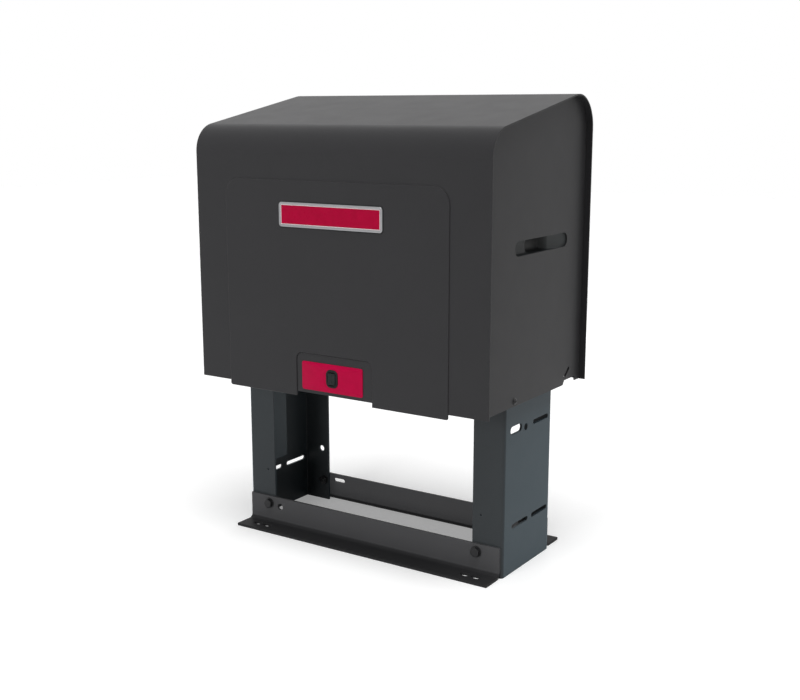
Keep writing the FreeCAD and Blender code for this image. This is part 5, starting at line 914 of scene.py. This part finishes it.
def mark_parts(x, y, z, rise):
    """The moulded marks: a bar above the rocker's middle and a ring below it."""
    mark = sizes().mark_size
    bar = np.array([x, y, z + rise])
    half = np.array([MARK_STROKE / 2 * mark, 0, mark / 2])
    outer, inner = mark / 2, mark / 2 - MARK_STROKE * mark
    levels = [-MARK_PROUD, -MARK_PROUD, MARK_SUNK, MARK_SUNK]
    return [
        rounded_box(bar - half - (0, MARK_PROUD, 0), bar + half + (0, MARK_SUNK, 0), MARK_ROUND),
        closed_ring(lathe("Y", (x, y, z - rise), [inner, outer, outer, inner], levels)[0]),
    ]


HOOD_SHEET = 2.5 * MM
CUP_LINES = 96
CUP_COLUMNS = 28
CUP_LAP = 1 * MM
CUP_ENTRY = 16 * MM
CUP_DEEP = 26 * MM
CUP_STEP = 12 * MM
CUP_LEAST = 0.05 * MM
CUP_FRONT = -87 * MM
CUP_LENGTH = 194 * MM
CUP_STATIONS = (62 * MM, 82 * MM, 124 * MM, 138 * MM)
CUP_HALF = 12.5 * MM
END_START = 0.05
END_SLOPE = 1.6
END_POWER = 0.6
SECTION_POWER = 0.35


def cup_parts(side):
    """A finger cup: cross-sections shaped like a soft U, carried from the front end to the rear.

    At a distance along Y the section's half height is that of the slot's outline. Its points are
    z = half height times -cos, and depth = floor depth times sin to the section's power. The floor
    starts at the entry depth, falls to the deepest part, steps up and ramps out to the rear.
    """
    low, high = corners("right_grip")
    length = CUP_LENGTH + 2 * CUP_LAP
    half = CUP_HALF + CUP_LAP
    line = length * (1 - np.cos(np.linspace(0, math.pi, CUP_LINES))) / 2
    from_end = np.clip(np.minimum(line, length - line), 0, half)
    outline = np.sqrt(np.clip(half ** 2 - (half - from_end) ** 2, 0, None))
    entry, deep, deep_end, step = CUP_STATIONS
    floor = CUP_ENTRY + (CUP_DEEP - CUP_ENTRY) * smooth_step((line - entry) / (deep - entry))
    floor -= (CUP_DEEP - CUP_STEP) * smooth_step((line - deep_end) / (step - deep_end))
    floor -= (CUP_STEP - HOOD_SHEET) * np.clip((line - step) / (length - step), 0, 1)
    wall = smooth_step(from_end / half * END_SLOPE + END_START) ** END_POWER
    depth = np.clip(floor - HOOD_SHEET, CUP_LEAST, None) * wall
    around = np.linspace(0, math.pi, CUP_COLUMNS)[None]
    x = side * (high[0] - depth[:, None] * np.sin(around) ** SECTION_POWER)
    y = np.broadcast_to((CUP_FRONT - CUP_LAP + line)[:, None], x.shape)
    z = (low[2] + high[2]) / 2 - outline[:, None] * np.cos(around)
    points = np.stack([x, y, z], axis=-1)
    return [(points, grid_faces(*points.shape[:2]))]


BELT_HALF = 4 * MM
BELT_OUTER = 6.35 * MM
BELT_SLOPE = math.tan(math.radians(18))
BELT_EDGE = 0.5 * MM
MOTOR_PULLEY = 24 * MM
DRIVEN_PULLEY = 72 * MM
COGS = 88
STEPS_PER_COG = 8
COG_SQUARENESS = 1.5


def belt_parts():
    """The cogged V-belt: a wedge section carried round both pulleys at an even pace.

    The path is two arcs and the two straight runs between them, on which the outward normal turns
    evenly and stands still. The inner face comes out between cogs by a clipped cosine.
    """
    small = np.array(joint_place("motor_spin"))
    large = np.array(joint_place("worm_spin"))
    low, high = corners("drive_belt")
    gap = small[2] - large[2]
    lean = math.asin((DRIVEN_PULLEY - MOTOR_PULLEY) / gap)
    run = gap * math.cos(lean)
    over = MOTOR_PULLEY * (math.pi - 2 * lean)
    under = DRIVEN_PULLEY * (math.pi + 2 * lean)
    ends = np.cumsum([over, run, under, run])
    travel = np.linspace(0, ends[3], COGS * STEPS_PER_COG, endpoint=False)
    stretches = [travel < ends[0], travel < ends[1], travel < ends[2]]
    down = math.pi - lean
    turn = np.select(
        stretches, [lean + travel / MOTOR_PULLEY, down, down + (travel - ends[1]) / DRIVEN_PULLEY],
        2 * math.pi + lean)
    passed = np.select(
        stretches, [0, (travel - ends[0]) / run, 1], 1 - (travel - ends[2]) / run)[:, None]
    radius = MOTOR_PULLEY + (DRIVEN_PULLEY - MOTOR_PULLEY) * passed
    wave = np.cos(2 * math.pi * np.arange(len(travel)) / STEPS_PER_COG)
    inner = sizes().cog_depth * np.clip(0.5 + COG_SQUARENESS * wave, 0, 1) - BELT_HALF
    level = np.stack(np.broadcast_arrays(BELT_HALF, BELT_HALF - BELT_EDGE, inner), axis=-1)
    half = BELT_OUTER - (BELT_HALF - level) * BELT_SLOPE
    half[:, 0] -= BELT_EDGE
    level = np.concatenate([level, level[:, ::-1]], axis=1)
    half = np.concatenate([half, -half[:, ::-1]], axis=1)
    x = (low[0] + high[0]) / 2 + half
    y = small[1] + (radius + level) * np.cos(turn)[:, None]
    z = small[2] - gap * passed + (radius + level) * np.sin(turn)[:, None]
    return [closed_ring(np.stack([x, y, z], axis=-1))]


SHELL_STEPS = 360
SHELL_RADIUS = 66 * MM
SHELL_BORE = 61 * MM
FINS = 48
FIN_SQUARENESS = 1.3
FIN_FROM = math.radians(-14)
FIN_TO = math.radians(60)
FIN_FADE = 0.03
FIN_INSET = 6 * MM
FIN_SLOPE = 3 * MM


def shell_parts():
    """The motor's shell with cooling fins along both sides.

    The outer radius is the shell's plus the fin height times a clipped cosine of the angle, inside
    a window on each side that leaves the saddles and the capacitor cover free.
    """
    low, high = corners("motor_housing")
    place = joint_place("motor_spin")
    angle = np.linspace(0, 2 * math.pi, SHELL_STEPS, endpoint=False)
    from_side = np.arctan2(np.sin(angle), np.abs(np.cos(angle)))
    window = (smooth_step((from_side - FIN_FROM) / FIN_FADE)
              * smooth_step((FIN_TO - from_side) / FIN_FADE))
    wave = np.clip(0.5 + FIN_SQUARENESS * np.cos(FINS * angle), 0, 1)
    finned = SHELL_RADIUS + sizes().fin_height * window * wave
    left, right = low[0] - place[0], high[0] - place[0]
    foot, top = FIN_INSET, FIN_INSET + FIN_SLOPE
    radii = [SHELL_BORE, SHELL_RADIUS, SHELL_RADIUS, finned, finned, SHELL_RADIUS, SHELL_RADIUS,
             SHELL_BORE]
    levels = [left, left, left + foot, left + top, right - top, right - foot, right, right]
    return [closed_ring(lathe("X", place, radii, levels, angle)[0])]


BATTERY_HEIGHT = 94 * MM
BATTERY_PAD = 7 * MM
CASE_SHORT = 9 * MM
LID_LAP = 12 * MM
LID_INSET = (0.8 * MM, 0.8 * MM)
PAD_INSET = (3 * MM, 22 * MM)
PAD_SUNK = 2 * MM
LID_ROUND = 2 * MM
TERMINAL_PLACE = (11 * MM, 12 * MM)
BOSS_RADIUS = 5 * MM
BOSS_RISE = 1.6 * MM
BOSS_SUNK = 0.5 * MM
BLADE_HALF = MM * np.array([0.5, 3, 0])
BLADE_RISE = MM * np.array([0, 0, 6])
BLADE_ROUND = 0.3 * MM


def battery_tops():
    """The batteries' corners and the heights of the tops of the two that are stacked."""
    low, high = corners("batteries")
    first = low[2] + BATTERY_HEIGHT
    return low, high, (first, first + BATTERY_PAD + BATTERY_HEIGHT)


def battery_parts():
    """Two rounded cases, each with a lid, the seam under it and a raised pad."""
    low, high, tops = battery_tops()
    parts = []
    for top in tops:
        for (x, y), bottom, above, radius in (
                ((0, 0), top - BATTERY_HEIGHT, top - CASE_SHORT, sizes().battery_round),
                (LID_INSET, top - LID_LAP, top, LID_ROUND),
                (PAD_INSET, top - PAD_SUNK, top + BATTERY_PAD, LID_ROUND)):
            parts.append(rounded_box((low[0] + x, low[1] + y, bottom),
                                     (high[0] - x, high[1] - y, above), radius))
    return parts


def terminal_parts():
    """A blade terminal on a round boss at each end of each battery."""
    low, high, tops = battery_tops()
    inset_x, inset_y = TERMINAL_PLACE
    parts = []
    for top in tops:
        for y in (low[1] + inset_y, high[1] - inset_y):
            foot = np.array([low[0] + inset_x, y, top])
            parts.append(disc("Z", foot - (0, 0, BOSS_SUNK), BOSS_RADIUS, BOSS_RISE, 1))
            parts.append(rounded_box(
                foot - BLADE_HALF, foot + BLADE_HALF + BLADE_RISE, BLADE_ROUND))
    return parts


PULL_BEND = 8 * MM
PULL_FOOT = 24 * MM
BEND_STEPS = 9
COLLAR_RADIUS = 6 * MM
COLLAR_THICK = 2.5 * MM
COLLAR_EDGE = 0.3


def pull_parts():
    """The door pull: a rod bent twice, with a collar at each foot.

    Its path runs out from the door, turns through two quarter circles and runs back in.
    """
    low, high = corners("door_pull")
    x, _, middle = (low + high) / 2
    wall = high[1]
    bend = np.linspace(0, math.pi / 2, BEND_STEPS)
    bend_y = low[1] + sizes().pull_radius + PULL_BEND * (1 - np.cos(bend))
    bend_z = PULL_FOOT - PULL_BEND * (1 - np.sin(bend))
    y = np.concatenate([[wall], bend_y[::-1], bend_y, [wall]])
    z = middle + np.concatenate([[-PULL_FOOT], -bend_z[::-1], bend_z, [PULL_FOOT]])
    path = np.stack([np.full_like(y, x), y, z], axis=-1)
    collars = [
        disc("Y", (x, wall, middle + foot), COLLAR_RADIUS, COLLAR_THICK, -1, COLLAR_EDGE)
        for foot in (-PULL_FOOT, PULL_FOOT)]
    return [tube(path, sizes().pull_radius)] + collars


# Stage

LENS = 52.295
SENSOR = 36.0
CAMERA_PLACE = (1.1744, -1.7557, 0.7929)
CAMERA_AZIMUTH = math.radians(33.515)
CAMERA_ELEVATION = math.radians(11.665)
FLOOR_HALF = 9.0
FLOOR_LIFT = 0.27
WORLD_DIFFUSE = 0.22
OVERHEAD_STRENGTH = 0.72 * math.pi
OVERHEAD_SPREAD = math.radians(40)
OVERHEAD_FROM = (0.16, -0.16, 1)
SOFTBOX_AIM = (0.0, -0.1, 0.30)
SOFTBOX_SIZE = 0.8
SOFTBOXES = (
    ("front_softbox", 19.0, (-0.10, -2.2, 0.75)),
    ("rear_softbox", 7.0, (-0.7, 2.3, 1.1)),
)


def floor_material(tone):
    """Pale matt floor that the camera and shiny parts see a little brighter, to meet the white."""
    finish = Finish("studio_floor", tone, 1.0, specular=0.0)
    ray = finish.add("LightPath").outputs
    seen = finish.math("MAXIMUM", ray["Is Camera Ray"], ray["Is Glossy Ray"])
    finish.set("Emission Color", WHITE)
    finish.set("Emission Strength", finish.math("MULTIPLY", seen, FLOOR_LIFT))
    return finish.done()


def white_world():
    """White where it is seen, mirrored or looked at through glass, dimmer as a light."""
    world = bpy.data.worlds.new("studio_world")
    bpy.context.scene.world = world
    world.use_nodes = True
    nodes = Nodes(world.node_tree)
    ray = nodes.add("LightPath").outputs
    seen = nodes.math("MAXIMUM", ray["Is Camera Ray"], ray["Is Glossy Ray"])
    seen = nodes.math("MAXIMUM", seen, ray["Is Transmission Ray"])
    background = nodes.tree.nodes["Background"].inputs
    nodes.feed(background["Color"], WHITE)
    nodes.feed(background["Strength"], nodes.level(seen, 0.0, 1.0, WORLD_DIFFUSE))


def place_in_scene(name, data, direction, place=(0, 0, 0)):
    """A new object at a place, with its Z axis along a direction."""
    item = bpy.data.objects.new(name, data)
    item.location = place
    item.rotation_euler = Vector(direction).to_track_quat("Z", "Y").to_euler()
    bpy.context.scene.collection.objects.link(item)
    return item


def overhead_sun():
    lamp = bpy.data.lights.new("overhead_sun", "SUN")
    lamp.energy = OVERHEAD_STRENGTH
    lamp.angle = OVERHEAD_SPREAD
    place_in_scene("overhead_sun", lamp, OVERHEAD_FROM)


def softbox(name, power, place):
    """A square area lamp that lights the object and isn't seen or mirrored itself."""
    lamp = bpy.data.lights.new(name, "AREA")
    lamp.energy = power
    lamp.size = SOFTBOX_SIZE
    item = place_in_scene(name, lamp, Vector(place) - Vector(SOFTBOX_AIM), place)
    item.visible_camera = False
    item.visible_glossy = False


# Operators

class FinishFrame(bpy.types.Operator):
    """Give every sub-part of the frame its own finish"""
    bl_idname = "gate_operator.finish_frame"
    bl_label = "Finish the frame's sub-parts"

    def execute(self, context):
        by_slot = slot_finishes()
        by_node = node_finishes()
        for entry in frame["record"]["subparts"]:
            node = entry["node"]
            materials = frame["nodes"][node].data.materials
            materials.clear()
            materials.append(by_node.get(node, by_slot[entry["material_slot"]]))
        return {"FINISHED"}


class FitStandBolts(bpy.types.Operator):
    """Put chamfered bolts with washers and nuts through the base angles, legs and deck"""
    bl_idname = "gate_operator.fit_stand_bolts"
    bl_label = "Stand bolts"

    def execute(self, context):
        new_piece("stand_bolt_set", stand_bolt_parts(), "stand_bolts", "stand",
                  30)
        return {"FINISHED"}


class FitHoodScrews(bpy.types.Operator):
    """Put socket button screws at the hood's lower corners"""
    bl_idname = "gate_operator.fit_hood_screws"
    bl_label = "Hood screws"

    def execute(self, context):
        new_piece("hood_screw_set", hood_screw_parts(), "hood_screws", "hood",
                  30)
        return {"FINISHED"}


class FitNameplate(bpy.types.Operator):
    """Mould the nameplate's silver rim and the dark ring round it, a painted shadow"""
    bl_idname = "gate_operator.fit_nameplate"
    bl_label = "Nameplate rim"

    def execute(self, context):
        new_piece("nameplate_rim", nameplate_rim(), "nameplate_frame", "hood",
                  50)
        # Painted shadow: a thin dark ring round the rim
        new_piece("nameplate_shadow_ring", nameplate_shadow_ring(), "switch_bezel", "hood",
                  50, replaces=False)
        return {"FINISHED"}


class FitSwitch(bpy.types.Operator):
    """Mould the red plate, the switch's bezel and its rocker"""
    bl_idname = "gate_operator.fit_switch"
    bl_label = "Switch"

    def execute(self, context):
        new_piece("switch_red_plate", plate_parts(), "switch_plate", "stand", 50)
        new_piece("switch_moulding", bezel_parts(), "switch_bezel", "stand", 50)
        new_piece("rocker", rocker_parts(), "rocker_button", "rocker", 50)
        return {"FINISHED"}


class FitFingerCups(bpy.types.Operator):
    """Mould the finger cups behind the openings in the hood's sides"""
    bl_idname = "gate_operator.fit_finger_cups"
    bl_label = "Finger cups"

    def execute(self, context):
        for side, node in ((-1, "left_grip"), (1, "right_grip")):
            cup = new_piece(f"{node}_cup", cup_parts(side), node, "hood", 60)
            inwards = sum(face.normal.x for face in cup.data.polygons) * side < 0
            wall = cup.modifiers.new("wall", "SOLIDIFY")
            wall.thickness = sizes().cup_wall
            wall.offset = 1 if inwards else -1
        return {"FINISHED"}


class FitBelt(bpy.types.Operator):
    """Mould the cogged belt round both pulleys"""
    bl_idname = "gate_operator.fit_belt"
    bl_label = "Drive belt"

    def execute(self, context):
        new_piece("cogged_belt", belt_parts(), "drive_belt", "stand", 30)
        return {"FINISHED"}


class FitMotorShell(bpy.types.Operator):
    """Mould the motor's finned shell"""
    bl_idname = "gate_operator.fit_motor_shell"
    bl_label = "Motor shell"

    def execute(self, context):
        new_piece("finned_shell", shell_parts(), "motor_housing", "stand", 35)
        return {"FINISHED"}


class FitBatteries(bpy.types.Operator):
    """Mould the standby batteries and their terminals"""
    bl_idname = "gate_operator.fit_batteries"
    bl_label = "Batteries"

    def execute(self, context):
        new_piece("battery_cases", battery_parts(), "batteries", "stand", 35)
        new_piece("battery_terminals", terminal_parts(), "encoder_shaft", "stand",
                  replaces=False)
        return {"FINISHED"}


class FitDoorPull(bpy.types.Operator):
    """Bend the rod of the control box's door pull"""
    bl_idname = "gate_operator.fit_door_pull"
    bl_label = "Door pull"

    def execute(self, context):
        new_piece("door_pull_rod", pull_parts(), "door_pull", "door")
        return {"FINISHED"}


class MakeStage(bpy.types.Operator):
    """Set the floor, the white surroundings, the lamps and the camera"""
    bl_idname = "gate_operator.make_stage"
    bl_label = "Set the studio"

    def execute(self, context):
        mesh = bpy.data.meshes.new("studio_floor")
        outline = [(x * FLOOR_HALF, y * FLOOR_HALF, 0) for x, y in CORNERS]
        mesh.from_pydata(outline, [], [range(4)])
        mesh.materials.append(floor_material(colours().floor))
        place_in_scene("studio_floor", mesh, (0, 0, 1))
        white_world()
        overhead_sun()
        for name, power, place in SOFTBOXES:
            softbox(name, power, place)
        lens = bpy.data.cameras.new("camera")
        lens.lens = LENS
        lens.sensor_width = SENSOR
        level = math.cos(CAMERA_ELEVATION)
        back = (math.sin(CAMERA_AZIMUTH) * level, -math.cos(CAMERA_AZIMUTH) * level,
                math.sin(CAMERA_ELEVATION))
        context.scene.camera = place_in_scene("camera", lens, back, CAMERA_PLACE)
        context.scene.view_settings.view_transform = "Standard"
        return {"FINISHED"}


class OperatorPanel(bpy.types.Panel):
    """Sidebar panel that lists the steps and the sizes and colours behind them"""
    bl_label = "Gate operator"
    bl_idname = "GATE_OPERATOR_PT_steps"
    bl_space_type = "VIEW_3D"
    bl_region_type = "UI"
    bl_category = "Gate operator"

    def draw(self, context):
        for step in STEPS:
            self.layout.operator(step.bl_idname)
        for group in (sizes(), colours()):
            for name in group.bl_rna.properties.keys():
                if name not in ("rna_type", "name"):
                    self.layout.prop(group, name)


STEPS = (
    FinishFrame, FitStandBolts, FitHoodScrews, FitNameplate, FitSwitch, FitFingerCups, FitBelt,
    FitMotorShell, FitBatteries, FitDoorPull, MakeStage)
CLASSES = (OperatorSizes, OperatorColours, *STEPS, OperatorPanel)


def register():
    for item in CLASSES:
        bpy.utils.register_class(item)
    bpy.types.Scene.gate_operator_sizes = PointerProperty(type=OperatorSizes)
    bpy.types.Scene.gate_operator_colours = PointerProperty(type=OperatorColours)


def unregister():
    del bpy.types.Scene.gate_operator_colours
    del bpy.types.Scene.gate_operator_sizes
    for item in reversed(CLASSES):
        bpy.utils.unregister_class(item)


def main():
    register()
    for step in STEPS:
        group, name = step.bl_idname.split(".")
        getattr(getattr(bpy.ops, group), name)()


if __name__ == "__main__":
    main()
